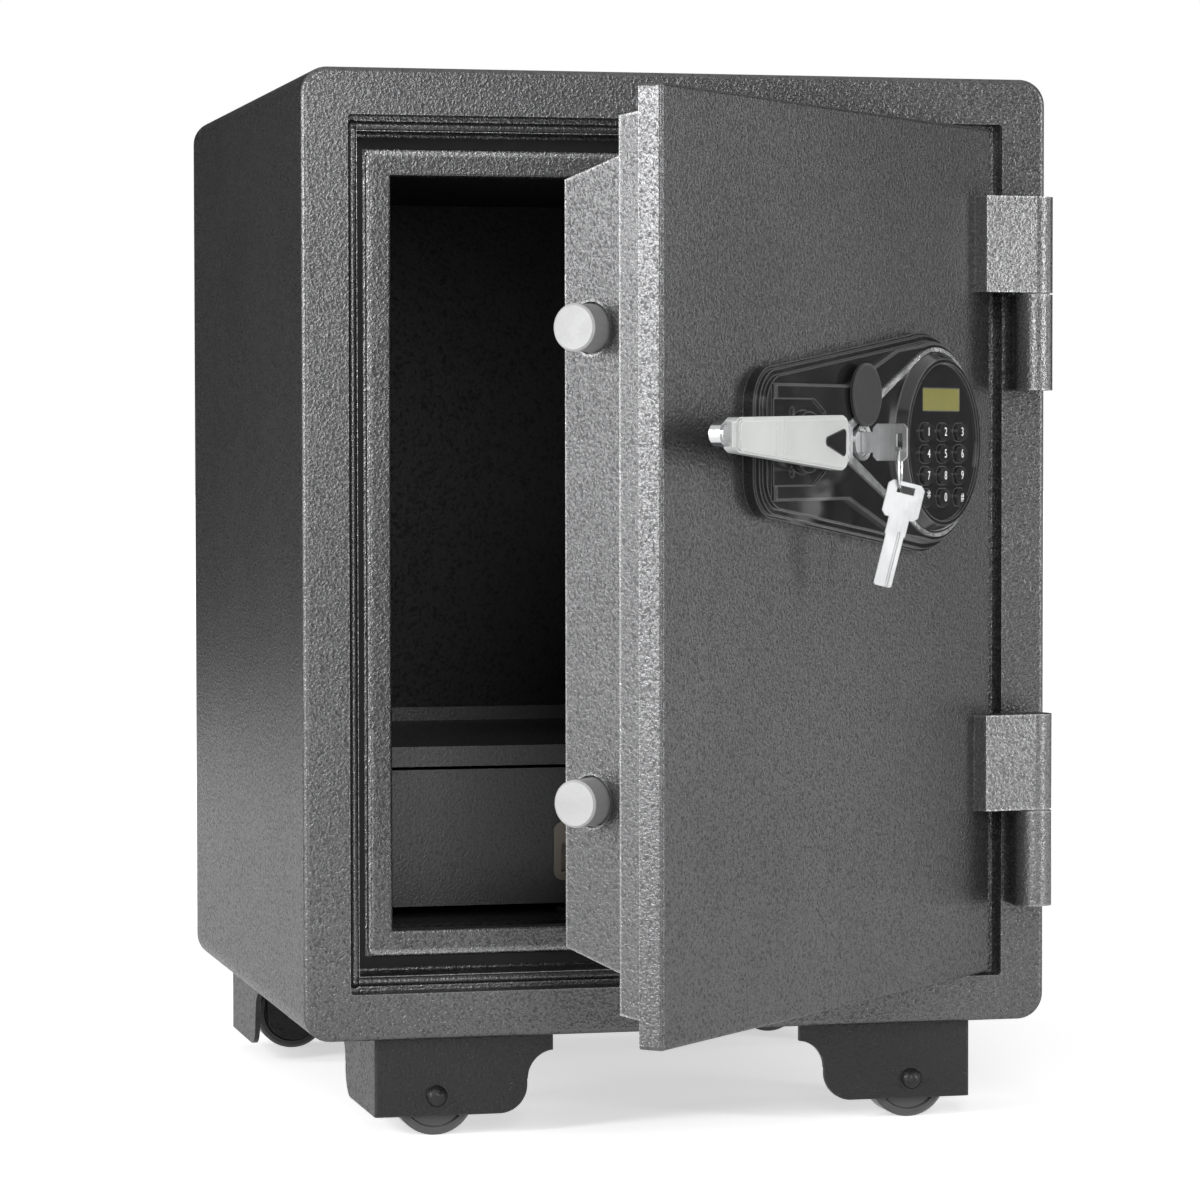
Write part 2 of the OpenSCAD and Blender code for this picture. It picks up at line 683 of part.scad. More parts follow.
// Door
module door_plate() {
    color(grey) in_door() difference() {
        soft_front(plate_w, plate_h, plate_d, plate_r, plate_r);
        along_y(shell_t, plate_d + over) face(plate_w - 2 * shell_t, plate_h - 2 * shell_t);
        translate([-lever_x, 0, lock_z]) rod_y(-over, shell_t + over, spindle_d + 6);
        translate([-plug_x, 0, lock_z]) rod_y(-over, shell_t + over, lock_d + 4);
    }
}
module door_step() {
    rear_in = step_in + step_draft;
    color(grey) in_door() {
        along_y(plate_d - sheet_t, plate_d) difference() {
            face(plate_w - 2 * shell_t, plate_h - 2 * shell_t);
            face(plate_w - 2 * (step_in + sheet_t), plate_h - 2 * (step_in + sheet_t));
        }
        difference() {
            drafted(step_in, rear_in, plate_d, step_y);
            drafted(step_in + sheet_t, rear_in + sheet_t, plate_d - over, step_y - sheet_t);
            along_y(step_y - 2 * sheet_t, step_y + over)
                face(plate_w - 2 * (plug_in + sheet_t), plate_h - 2 * (plug_in + sheet_t));
        }
    }
}
module door_plug() {
    head_d = 9;
    color(grey) in_door() {
        difference() {
            drafted(plug_in, plug_in + plug_draft, step_y, plug_y);
            drafted(plug_in + sheet_t, plug_in + plug_draft + sheet_t, step_y - over, plug_y - sheet_t);
            for (s = [-1, 1]) translate([0, bolt_y, mid_z + s * bolt_pitch / 2])
                rod_x(-plate_w / 2, plug_in + plug_draft + 2 * sheet_t - plate_w / 2, bolt_hole_d);
        }
        for (x = [-1, 1], z = [-1, 0, 1]) translate([x * (plate_w / 2 - plug_in - plug_draft - 14), plug_y,
            mid_z + z * (plate_h / 2 - plug_in - plug_draft - 14)]) {
            rod_y(-over, 1.2, head_d);
            translate([0, 1.2, 0]) rod_y(0, 0.8, head_d - 3);
        }
    }
}
module door_fill() {
    color("#d9d4c6") in_door() difference() {
        union() {
            along_y(shell_t, plate_d - sheet_t) face(plate_w - 2 * shell_t, plate_h - 2 * shell_t);
            along_y(plate_d - sheet_t, step_y - sheet_t)
                face(plate_w - 2 * (step_in + step_draft + 2), plate_h - 2 * (step_in + step_draft + 2));
            along_y(step_y - sheet_t, chassis_y)
                face(plate_w - 2 * (plug_in + 6), plate_h - 2 * (plug_in + 6));
        }
        translate([-lever_x, 0, lock_z]) rod_y(0, chassis_y + over, spindle_d + 6);
        translate([-plug_x, 0, lock_z]) rod_y(0, 16, lock_d + 4);
    }
}

// Bolt work
module lock_chassis() {
    guide_l = 22;
    guide_x = -plate_w / 2 + plug_in + plug_draft + sheet_t + 0.5;
    half = bolt_pitch / 2 + 20;
    color(dark_grey) in_door() {
        difference() {
            slab(guide_x, case_x + case_w + 4, chassis_y, chassis_y + chassis_t, mid_z - half, mid_z + half);
            translate([-lever_x, 0, lock_z]) rod_y(chassis_y - over, chassis_y + chassis_t + over,
                spindle_d + 2 * clear_run);
        }
        for (s = [-1, 1]) translate([0, 0, mid_z + s * bolt_pitch / 2]) difference() {
            slab(guide_x, guide_x + guide_l, chassis_y + chassis_t - 0.5, plug_y - sheet_t - 1, -16, 16);
            translate([0, bolt_y, 0]) rod_x(guide_x - over, guide_x + guide_l + over, bolt_d + 0.06);
        }
    }
}
module lock_case() {
    seat = chassis_y + chassis_t;
    motor_y = seat + motor_d / 2 + 2;
    motor_z = lock_z - case_down - motor_d / 2 - 7;
    mid_x = case_x + case_w / 2;
    bracket = [36, 12];
    neck = 10;
    color(bright) in_door() {
        slab(case_x, case_x + case_w, seat, seat + case_d, lock_z - case_down, lock_z + case_up);
        translate([mid_x, motor_y, motor_z]) rod_x(-motor_l / 2, motor_l / 2, motor_d);
        translate([mid_x, 0, motor_z]) {
            slab(-bracket[0] / 2, bracket[0] / 2, seat, motor_y, -bracket[1] / 2, bracket[1] / 2);
            slab(-neck / 2, neck / 2, seat, motor_y, 0, lock_z - case_down + 2 - motor_z);
        }
    }
}
module battery_box() {
    lid_in = 5;
    lid_up = 2;
    notch_d = 9;
    notch_w = 18;
    ridge = 60;
    groove = [2, 0.6];
    top = battery_up + battery_h;
    color(black) in_door() translate([0, plug_y, mid_z]) difference() {
        union() {
            along_y(0, battery_d - lid_up) translate([0, top - battery_h / 2]) rrect(battery_w, battery_h, 6);
            along_y(0, battery_d) translate([0, top - battery_h / 2])
                rrect(battery_w - 2 * lid_in, battery_h - 2 * lid_in, 4);
        }
        translate([0, battery_d + 2, top - lid_in - 7]) rod_x(-notch_w / 2, notch_w / 2, notch_d);
        for (i = [-2:2]) translate([0, 0, battery_up + 20 + 5 * i])
            slab(-ridge / 2, ridge / 2, battery_d - groove[1], battery_d + over, 0, groove[0]);
    }
}
// One tooth flank pair of a straight-sided rack, along x, pitch line at z = 0
module rack_tooth() {
    half = gear_m * PI / 4 - gear_play / 2;
    lean = tan(20);
    polygon([[-half - 1.25 * gear_m * lean, -1.25 * gear_m], [-half + gear_m * 0.9 * lean, gear_m * 0.9],
        [half - gear_m * 0.9 * lean, gear_m * 0.9], [half + 1.25 * gear_m * lean, -1.25 * gear_m]]);
}
// Involute tooth of the pinion, pointing along +x
function involute(rb, t) = [rb * (cos(t) + t * PI / 180 * sin(t)), rb * (sin(t) - t * PI / 180 * cos(t))];
function turned(p, a) = [p[0] * cos(a) - p[1] * sin(a), p[0] * sin(a) + p[1] * cos(a)];
module pinion_tooth() {
    rb = gear_r * cos(20);
    tip = gear_r + gear_m * 0.9;
    end = sqrt(tip * tip / (rb * rb) - 1) * 180 / PI;
    at = sqrt(gear_r * gear_r / (rb * rb) - 1) * 180 / PI;
    half = 90 / gear_n - gear_play / 2 / gear_r * 180 / PI + at - atan(at * PI / 180);
    steps = 6;
    low = [for (i = [0:steps]) turned(involute(rb, end * i / steps), -half)];
    high = [for (i = [steps:-1:0]) let (p = turned(involute(rb, end * i / steps), -half)) [p[0], -p[1]]];
    root = gear_r - 1.25 * gear_m - 1;
    polygon(concat([[root * cos(half), -root * sin(half)]], low, high, [[root * cos(half), root * sin(half)]]));
}
module bolt_bar() {
    rack_l = 40;
    rack_end = 11;
    rack_h = 11;
    foot = 1.25 * gear_m;
    pitch = gear_m * PI;
    half = bolt_pitch / 2 + 14;
    color(bright) in_door() {
        difference() {
            slab(bolt_tail, bolt_tail + bar_t, bolt_y - 6, bolt_y + 8, mid_z - half, mid_z + half);
            for (s = [-1, 1]) translate([0, bolt_y, mid_z + s * bolt_pitch / 2])
                rod_x(bolt_tail - over, bolt_tail + bar_t + over, spigot_d);
        }
        translate([-lever_x, 0, rack_z]) {
            slab(rack_end - rack_l, rack_end, gear_y, gear_y + gear_t, -rack_h, -foot);
            along_y(gear_y, gear_y + gear_t) for (i = [-4:0]) translate([(i + 0.5) * pitch, 0]) rack_tooth();
            along_y(gear_y, gear_y + gear_t) translate([pitch * 1.5, 0]) rack_tooth();
        }
        slab(bolt_tail, rack_end - lever_x, gear_y + gear_t - 1, bolt_y - 5, rack_z - rack_h,
            rack_z - foot - 1.5);
    }
}
module live_bolt(s) {
    color(bright) in_door() translate([0, bolt_y, mid_z + s * bolt_pitch / 2]) {
        rod_x(bolt_end + 1, bolt_tail, bolt_d);
        translate([bolt_end, 0, 0]) rotate([0, 90, 0]) cylinder(h = 1, d1 = bolt_d - 2, d2 = bolt_d);
        rod_x(bolt_tail - over, bolt_tail + bar_t + 9, spigot_d);
        translate([bolt_tail + bar_t, 0, 0]) rotate([0, 90, 0]) cylinder(h = 7, d = nut_d, $fn = 6);
    }
}
module bolt_upper() { live_bolt(1); }
module bolt_lower() { live_bolt(-1); }

// Lock panel
module panel_outline(inset) {
    r = lobe_r - inset;
    x = lobe_r - panel_left;
    z = lobe_h - lobe_r;
    translate([pad_x, 0]) circle(panel_r - inset);
    for (s = [-1, 1]) translate([x, s * z]) circle(r);
    polygon([[x - r, -z], [x, -lobe_h + inset], [pad_x - 10, -panel_r + 1 + inset], [pad_x, 0],
        [pad_x - 10, panel_r - 1 - inset], [x, lobe_h - inset], [x - r, z]]);
}
module island_outline(inset) {
    left = inset - panel_left + 8.4;
    knee = [-14, 40];
    rise = 18.5;
    side = island_r - inset;
    meet = 12;
    drop = 1.4;
    translate([pad_x, 0]) circle(side);
    polygon([[left, inset - band_h], [knee[0], inset - band_h], [knee[1], inset - band_h - rise],
        [pad_x - meet, drop - side], [pad_x, 0], [pad_x - meet, side - drop],
        [knee[1], band_h + rise - inset], [knee[0], band_h - inset], [left, band_h - inset]]);
}
// The drop's point: two lines that leave the circle of the given radius
module drop_outline(inset, r) {
    lean = 27;
    left = inset - drop_left;
    half = 9.6 - inset * tan((90 - lean) / 2);
    translate([pad_x, 0]) circle(r);
    polygon([[left, -half], [pad_x - r * sin(lean), -r * cos(lean)], [pad_x, 0],
        [pad_x - r * sin(lean), r * cos(lean)], [left, half]]);
}
module field_outline(inset) {
    polygon([[-panel_left, inset - field_h], [inset - 52, inset - field_h], [-40 - inset, inset - 14.5],
        [-40 - inset, 14.5 - inset], [inset - 52, field_h - inset], [-panel_left, field_h - inset]]);
}
module at_lock() { in_door() translate([0, 0, lock_z]) children(); }
module panel_base() {
    color(black) at_lock() difference() {
        union() {
            along_y(-base_t + 5, 0) panel_outline(0);
            along_y(-base_t + 2.5, 0) panel_outline(1.6);
            along_y(-base_t, 0) panel_outline(4.5);
            translate([-lever_x, 0, 0]) rod_y(island_y - 2.5, -base_t, 30);
        }
        translate([-lever_x, 0, 0]) rod_y(island_y - 3 - over, over, spindle_d + 2 * clear_run);
        translate([-plug_x, 0, 0]) rod_y(-base_t - over, over, lock_d + 4);
    }
}
module key_hole2d(more) {
    square([key_w - key_h, key_h + 2 * more], center = true);
    for (s = [-1, 1]) translate([s * (key_w - key_h) / 2, 0]) circle(key_h / 2 + more);
}
module panel_island() {
    color(black) at_lock() difference() {
        union() {
            along_y(island_y + 1, -base_t) island_outline(0);
            along_y(island_y, -base_t) island_outline(1);
            translate([pad_x, island_y - rim_t, 0]) rotate([-90, 0, 0])
                cylinder(h = rim_t, r1 = pad_rim, r2 = pad_foot);
        }
        along_y(island_y - rim_t - over, pad_y) translate([pad_x, 0]) circle(pad_r);
        along_y(island_y - over, island_y + field_t) field_outline(0);
        for (s = [-1, 1]) translate([-72, 0, s * 14.5]) rod_y(island_y, island_y + field_t + 0.8, 5);
        translate([-lever_x, 0, 0]) rod_y(island_y - over, -base_t + over, 31);
        translate([-plug_x, 0, 0]) rod_y(island_y - over, over, lock_d + 2 * clear_run);
        translate([-plug_x, 0, cover_up]) rod_y(island_y - over, -base_t + over, cover_pin + 2 * clear_run);
        for (c = [-1:1], r = [-1:2]) translate([pad_x + c * key_px, 0, key_z - lock_z - (r - 1) * key_pz])
            along_y(pad_y - over, pad_y + key_depth + key_go + 0.7) key_hole2d(0.3);
        slab(lcd_x - lcd_w / 2, lcd_x + lcd_w / 2, pad_y - over, pad_y + 1, lcd_z, lcd_z + lcd_h);
    }
}
module bright_trim() {
    color(bright) at_lock() {
        along_y(island_y - trim_t, island_y) difference() {
            drop_outline(0, drop_r);
            drop_outline(drop_w, pad_foot + 0.1);
            translate([-plug_x, cover_up]) circle(cover_pin / 2 + 2 * clear_run);
        }
        translate([-plug_x, 0, 0]) difference() {
            rod_y(island_y - trim_t, island_y, escutcheon_d);
            rod_y(island_y - trim_t - over, island_y + over, lock_d + 2 * slide_gap);
        }
    }
}
module display_window() {
    color("#a5a14f") at_lock() slab(lcd_x - lcd_w / 2, lcd_x + lcd_w / 2, pad_y + 0.2, pad_y + 1,
        lcd_z, lcd_z + lcd_h);
}
module keypad_key(c, r) {
    color(black) at_lock() translate([pad_x + (c - 1) * key_px, 0, key_z - lock_z - (r - 2) * key_pz]) {
        along_y(pad_y - key_up + 0.6, pad_y + key_depth) key_hole2d(0);
        along_y(pad_y - key_up, pad_y) key_hole2d(-0.6);
    }
}
module key_1() { keypad_key(0, 0); }
module key_2() { keypad_key(1, 0); }
module key_3() { keypad_key(2, 0); }
module key_4() { keypad_key(0, 1); }
module key_5() { keypad_key(1, 1); }
module key_6() { keypad_key(2, 1); }
module key_7() { keypad_key(0, 2); }
module key_8() { keypad_key(1, 2); }
module key_9() { keypad_key(2, 2); }
module key_star() { keypad_key(0, 3); }
module key_0() { keypad_key(1, 3); }
module key_hash() { keypad_key(2, 3); }

// Handle
module grip(inset, y0, y1) {
    c = lever_c;
    e = lever_e;
    along_y(y0, y1) {
        for (s = [-1, 1]) {
            translate([c - lever_len, s * (lever_tip - c)]) circle(c - inset);
            translate([e, s * (lever_r - c)]) circle(c - inset);
        }
        polygon([[inset - lever_len, c - lever_tip], [c - lever_len, inset - lever_tip], [e, inset - lever_r],
            [e + c - inset, c - lever_r], [e + c + 1.6 - inset, 0], [e + c - inset, lever_r - c],
            [e, lever_r - inset], [c - lever_len, lever_tip - inset], [inset - lever_len, lever_tip - c]]);
    }
}
module inlay_outline(inset) {
    translate([-10.5, 0]) circle(2.6 - inset);
    for (s = [-1, 1]) translate([5.6, s * 4.2]) circle(2.6 - inset);
    polygon([[-12, inset - 2.2], [4.6, inset - 6.6], [8.2 - inset, -4.2], [8.2 - inset, 4.2],
        [4.6, 6.6 - inset], [-12, 2.2 - inset]]);
}
module lever() {
    front = lever_y - lever_t;
    color(bright) at_lock() translate([-lever_x, 0, 0]) rotate([0, lever_tilt, 0]) difference() {
        union() {
            grip(0, front + 1.8, lever_y - 1);
            grip(0.9, front + 0.6, lever_y);
            grip(1.9, front, lever_y);
            rod_y(lever_y - 1, island_y - 3, 24);
            translate([tip_r - lever_len - tip_len, 0, 0]) {
                along_y(front + 2, lever_y - 1.5) {
                    circle(tip_r);
                    translate([0, -tip_r]) square([tip_len, 2 * tip_r]);
                }
                along_y(front + 1, lever_y - 0.5) circle(tip_r - 1.2);
            }
        }
        rod_y(front + 3, island_y, spindle_d);
        along_y(front - over, front + 1.2) inlay_outline(0);
        for (x = [-lever_len + 34, -lever_len + 42]) slab(x, x + 3, front - over, front + 0.3, -20, 20);
    }
}
module lever_inlay() {
    front = lever_y - lever_t;
    color(black) at_lock() translate([-lever_x, 0, 0]) rotate([0, lever_tilt, 0])
        along_y(front - 0.3, front + 1.2) inlay_outline(0.1);
}
module spindle() {
    color(bright) at_lock() translate([-lever_x, 0, 0]) {
        rod_y(lever_y - lever_t + 3, gear_y + gear_t, spindle_d);
        along_y(gear_y, gear_y + gear_t) {
            circle(gear_r - 1.25 * gear_m, $fn = 96);
            for (i = [0:gear_n - 1]) rotate(360 / gear_n * i + 90) pinion_tooth();
        }
    }
}

// Key lock, cover, ring and keys
// Flat in the XZ plane with its bow hanging from Z = 0; milled adds the groove down the blade
module key_blank(milled) {
    neck_l = 8.6;
    tip = 0.9;
    c = 2.2;
    foot = -bow - neck_l;
    groove_x = 1.3;
    groove_w = 1.1;
    web = 0.8;
    difference() {
        rotate([90, 0, 0]) translate([0, 0, -key_t / 2]) linear_extrude(key_t) difference() {
            polygon([[c - bow / 2, 0], [bow / 2 - c, 0], [bow / 2, -c], [bow / 2, c - bow],
                [bow / 2 - c, -bow], [neck_w / 2, -bow], [neck_w / 2, foot], [blade_w / 2, foot],
                [blade_w / 2, tip - key_len], [blade_w / 2 - tip, -key_len], [tip - blade_w / 2, -key_len],
                [-blade_w / 2, tip - key_len], [-blade_w / 2, foot], [-neck_w / 2, foot],
                [-neck_w / 2, -bow], [c - bow / 2, -bow], [-bow / 2, c - bow], [-bow / 2, -c]]);
            translate([0, -slot_edge]) square([slot_l, slot_s], center = true);
        }
        if (milled) for (s = [0, 1]) mirror([0, s, 0])
            slab(groove_x, groove_x + groove_w, web / 2, key_t, -key_len - over, foot + 2);
    }
}
module lock_plug() {
    slot = 0.4;
    color(bright) at_lock() translate([-plug_x, 0, 0]) difference() {
        rod_y(island_y + 0.2, 12, lock_d);
        slab(-key_t / 2 - slot, key_t / 2 + slot, island_y - over, 0, -neck_w / 2 - slot, neck_w / 2 + slot);
    }
}
module key_in_lock() {
    color(bright) at_lock() translate([-plug_x, bow_y - bow, 0]) rotate([90, 0, 0]) rotate([0, 0, 90])
        intersection() {
            key_blank(false);
            slab(-bow, bow, -key_t, key_t, -bow - key_out - 9, over);
        }
}
module key_cover() {
    top = island_y - trim_t - 0.4;
    color(black) at_lock() translate([-plug_x, 0, cover_up]) {
        translate([0, 0, cover_up]) rod_y(top - cover_t + 0.5, top, cover_d);
        translate([0, 0, cover_up]) rod_y(top - cover_t, top, cover_d - 1.6);
        rod_y(top - cover_t, -base_t, cover_pin);
    }
}
module key_ring() {
    color(bright) at_lock() translate([-plug_x, hang_y, loop_z - lock_z]) rotate([0, 0, loop_turn])
        rotate([90, 0, 0]) rotate_extrude($fn = 64) translate([loop_d / 2, 0]) circle(d = wire_d, $fn = 24);
}
module spare_key() {
    drop = slot_edge - slot_s / 2 + wire_d / 2 + slide_gap;
    color(bright) at_lock() translate([-plug_x, hang_y, spare_z - lock_z]) rotate([0, 0, spare_turn])
        rotate([0, spare_lean, 0]) translate([slot_l / 2 - wire_d / 2 - slide_gap, 0, drop]) key_blank(true);
}

outer_shell();
back_panel();
body_fill();
rebate_frame();
fire_seal();
inner_liner();
shelf();
drawer_runners();
anchor_cover();
hinge_base_upper();
hinge_base_lower();
hinge_pin_upper();
hinge_pin_lower();
caster_front_left();
caster_front_right();
caster_rear_left();
caster_rear_right();
wheel_front_left();
wheel_front_right();
wheel_rear_left();
wheel_rear_right();
drawer_box();
drawer_front();
drawer_pull();
door_plate();
door_step();
door_plug();
door_fill();
hinge_leaf_upper();
hinge_leaf_lower();
lock_chassis();
lock_case();
battery_box();
panel_base();
panel_island();
bright_trim();
display_window();
bolt_bar();
bolt_upper();
bolt_lower();
lever();
lever_inlay();
spindle();
lock_plug();
key_in_lock();
key_cover();
key_ring();
spare_key();
key_1();
key_2();
key_3();
key_4();
key_5();
key_6();
key_7();
key_8();
key_9();
key_star();
key_0();
key_hash();
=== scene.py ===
import json
import math
import bpy
from mathutils import Matrix, Vector


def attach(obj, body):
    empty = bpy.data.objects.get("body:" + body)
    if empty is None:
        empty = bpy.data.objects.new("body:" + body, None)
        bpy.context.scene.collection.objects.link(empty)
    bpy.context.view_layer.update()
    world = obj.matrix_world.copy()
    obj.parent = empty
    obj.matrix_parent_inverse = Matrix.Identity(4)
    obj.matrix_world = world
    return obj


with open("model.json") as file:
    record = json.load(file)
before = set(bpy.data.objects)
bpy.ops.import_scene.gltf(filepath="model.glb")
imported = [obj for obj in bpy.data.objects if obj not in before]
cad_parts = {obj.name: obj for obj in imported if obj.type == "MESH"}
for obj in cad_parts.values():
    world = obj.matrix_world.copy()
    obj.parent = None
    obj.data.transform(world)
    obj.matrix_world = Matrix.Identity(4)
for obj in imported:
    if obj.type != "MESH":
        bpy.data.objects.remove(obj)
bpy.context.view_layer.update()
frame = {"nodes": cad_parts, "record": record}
nodes = frame["nodes"]
record = frame["record"]
slotOf = {part["node"]: part["material_slot"] for part in record["subparts"]}
print("safe loaded:", len(nodes), "parts")

# Camera where the photographer stood: left of the safe, a little above the lock
cameraPlan = {
    "place": (-0.5716, -2.398, 0.3639),
    "turn": 13.47,      # degrees towards +X
    "tilt": 2.05,       # degrees down
    "roll": -0.087,
    "lens": 128.7,      # mm on a 36 mm sensor
}


def makeCamera(plan):
    turn, tilt = math.radians(plan["turn"]), math.radians(plan["tilt"])
    ahead = Vector((math.sin(turn) * math.cos(tilt), math.cos(turn) * math.cos(tilt), -math.sin(tilt)))
    side = Vector((math.cos(turn), -math.sin(turn), 0))
    up = side.cross(ahead)
    lensData = bpy.data.cameras.new("photoCamera")
    lensData.sensor_width = 36
    lensData.lens = plan["lens"]
    lensData.clip_start, lensData.clip_end = 0.05, 60
    camera = bpy.data.objects.new("photoCamera", lensData)
    bpy.context.collection.objects.link(camera)
    turned = Matrix((side, up, -ahead)).transposed().to_4x4()
    roll = Matrix.Rotation(math.radians(plan["roll"]), 4, "Z")
    camera.matrix_world = Matrix.Translation(plan["place"]) @ turned @ roll
    bpy.context.scene.camera = camera


makeCamera(cameraPlan)
print("camera placed")

# The door as it stands, half open
doorPlan = {
    "hinge": (0.1893, -0.2163, 0.0),
    "turn": math.radians(46),
    "depthOrigin": 197.0,      # mm from the front face to the safe's middle
    "underside": 53.0,         # mm above the floor
}


# Helpers that add nodes, wire them and pass their output on
def put(tree, kind, values=None, **settings):
    node = tree.nodes.new(kind)
    for key, value in settings.items():
        setattr(node, key, value)
    for key, value in (values or {}).items():
        node.inputs[key].default_value = value
    return node


def wire(tree, start, end):
    tree.links.new(start, end)


def newGroup(name, ins, outs):
    group = bpy.data.node_groups.new(name, "ShaderNodeTree")
    for label, kind, value in ins:
        socket = group.interface.new_socket(name=label, in_out="INPUT", socket_type=kind)
        socket.default_value = value
    for label, kind in outs:
        group.interface.new_socket(name=label, in_out="OUTPUT", socket_type=kind)
    return group, group.nodes.new("NodeGroupInput"), group.nodes.new("NodeGroupOutput")


def maths(tree, operation, first, second=None, clamp=False):
    node = put(tree, "ShaderNodeMath", operation=operation, use_clamp=clamp)
    for index, value in enumerate((first, second)):
        if value is None:
            continue
        if isinstance(value, (int, float)):
            node.inputs[index].default_value = value
        else:
            wire(tree, value, node.inputs[index])
    return node.outputs[0]


def spread(tree, value, low, high, toLow=0.0, toHigh=1.0, soft=True):
    limits = {"From Min": low, "From Max": high, "To Min": toLow, "To Max": toHigh}
    node = put(tree, "ShaderNodeMapRange", limits, interpolation_type="SMOOTHSTEP" if soft else "LINEAR")
    wire(tree, value, node.inputs["Value"])
    return node.outputs["Result"]


# Hammered paint: crinkles of paint about a millimetre across, with fine pits between them
def paintGrainGroup():
    group, start, end = newGroup(
        "hammeredGrain",
        [("Bead Size", "NodeSocketFloat", 0.002), ("Fine", "NodeSocketFloat", 0.35)],
        [("Height", "NodeSocketFloat"), ("Pits", "NodeSocketFloat"), ("Cloud", "NodeSocketFloat")])
    place = put(group, "ShaderNodeTexCoord")
    density = maths(group, "DIVIDE", 1.0, start.outputs["Bead Size"])
    crinkle = put(group, "ShaderNodeTexNoise", {"Detail": 1.5, "Roughness": 0.5, "Distortion": 0.7})
    wire(group, place.outputs["Object"], crinkle.inputs["Vector"])
    wire(group, density, crinkle.inputs["Scale"])
    cells = put(group, "ShaderNodeTexVoronoi", {"Smoothness": 0.45, "Randomness": 1.0}, feature="SMOOTH_F1")
    wire(group, place.outputs["Object"], cells.inputs["Vector"])
    wire(group, maths(group, "MULTIPLY", density, 0.8), cells.inputs["Scale"])
    fine = put(group, "ShaderNodeTexNoise", {"Detail": 2.0, "Roughness": 0.6})
    wire(group, place.outputs["Object"], fine.inputs["Vector"])
    wire(group, maths(group, "MULTIPLY", density, 2.6), fine.inputs["Scale"])
    bump = spread(group, crinkle.outputs["Fac"], 0.25, 0.75, soft=False)
    dome = spread(group, cells.outputs["Distance"], 0.7, 0.1)
    height = maths(group, "ADD", maths(group, "MULTIPLY", bump, 0.75), maths(group, "MULTIPLY", dome, 0.15))
    speck = maths(group, "SUBTRACT", fine.outputs["Fac"], 0.5)
    speck = maths(group, "MULTIPLY", speck, start.outputs["Fine"])
    height = maths(group, "ADD", height, speck)
    wire(group, height, end.inputs["Height"])
    # the pits mask: rougher paint there, and painted shade in the hollows
    wire(group, spread(group, height, 0.42, 0.15), end.inputs["Pits"])
    cloud = put(group, "ShaderNodeTexNoise", {"Scale": 7.0, "Detail": 4.0, "Roughness": 0.55})
    wire(group, place.outputs["Object"], cloud.inputs["Vector"])
    wire(group, spread(group, cloud.outputs["Fac"], 0.3, 0.7), end.inputs["Cloud"])
    return group


# Wear where two faces meet, broken up so that it comes and goes along the edge, and the plain edge mask on
# its own, which the finishes use to paint highlight and shade lines along edges
def edgeWearAndLightGroup():
    group, start, end = newGroup(
        "edgeWearAndPaintedLight",
        [("Reach", "NodeSocketFloat", 0.0012), ("Breakup", "NodeSocketFloat", 90.0),
         ("Amount", "NodeSocketFloat", 0.6)],
        [("Wear", "NodeSocketFloat"), ("Painted Edge Light", "NodeSocketFloat")])
    rounded = put(group, "ShaderNodeBevel", samples=4)
    wire(group, start.outputs["Reach"], rounded.inputs["Radius"])
    true = put(group, "ShaderNodeNewGeometry")
    dot = put(group, "ShaderNodeVectorMath", operation="DOT_PRODUCT")
    wire(group, rounded.outputs["Normal"], dot.inputs[0])
    wire(group, true.outputs["Normal"], dot.inputs[1])
    # the edge mask: it gates the wear, and goes out on its own for painted edge highlights and shade
    rim = spread(group, dot.outputs["Value"], 0.985, 0.86)
    wire(group, rim, end.inputs["Painted Edge Light"])
    place = put(group, "ShaderNodeTexCoord")
    chips = put(group, "ShaderNodeTexNoise", {"Detail": 5.0, "Roughness": 0.65})
    wire(group, place.outputs["Object"], chips.inputs["Vector"])
    wire(group, start.outputs["Breakup"], chips.inputs["Scale"])
    gate = spread(group, chips.outputs["Fac"], 0.48, 0.62)
    wear = maths(group, "MULTIPLY", maths(group, "MULTIPLY", rim, gate), start.outputs["Amount"], clamp=True)
    wire(group, wear, end.inputs["Wear"])
    return group


# Fine dust that settles on what faces up, and in soft drifts elsewhere
def dustGroup():
    group, start, end = newGroup(
        "settledDust",
        [("Amount", "NodeSocketFloat", 0.3)],
        [("Dust", "NodeSocketFloat")])
    true = put(group, "ShaderNodeNewGeometry")
    split = put(group, "ShaderNodeSeparateXYZ")
    wire(group, true.outputs["Normal"], split.inputs[0])
    place = put(group, "ShaderNodeTexCoord")
    drift = put(group, "ShaderNodeTexNoise", {"Scale": 26.0, "Detail": 6.0, "Roughness": 0.6})
    wire(group, place.outputs["Object"], drift.inputs["Vector"])
    facing = spread(group, split.outputs["Z"], 0.35, 1.0)
    film = maths(group, "MULTIPLY", maths(group, "ADD", maths(group, "MULTIPLY", facing, 0.8), 0.12),
                 spread(group, drift.outputs["Fac"], 0.3, 0.75))
    wire(group, maths(group, "MULTIPLY", film, start.outputs["Amount"], clamp=True), end.inputs["Dust"])
    return group


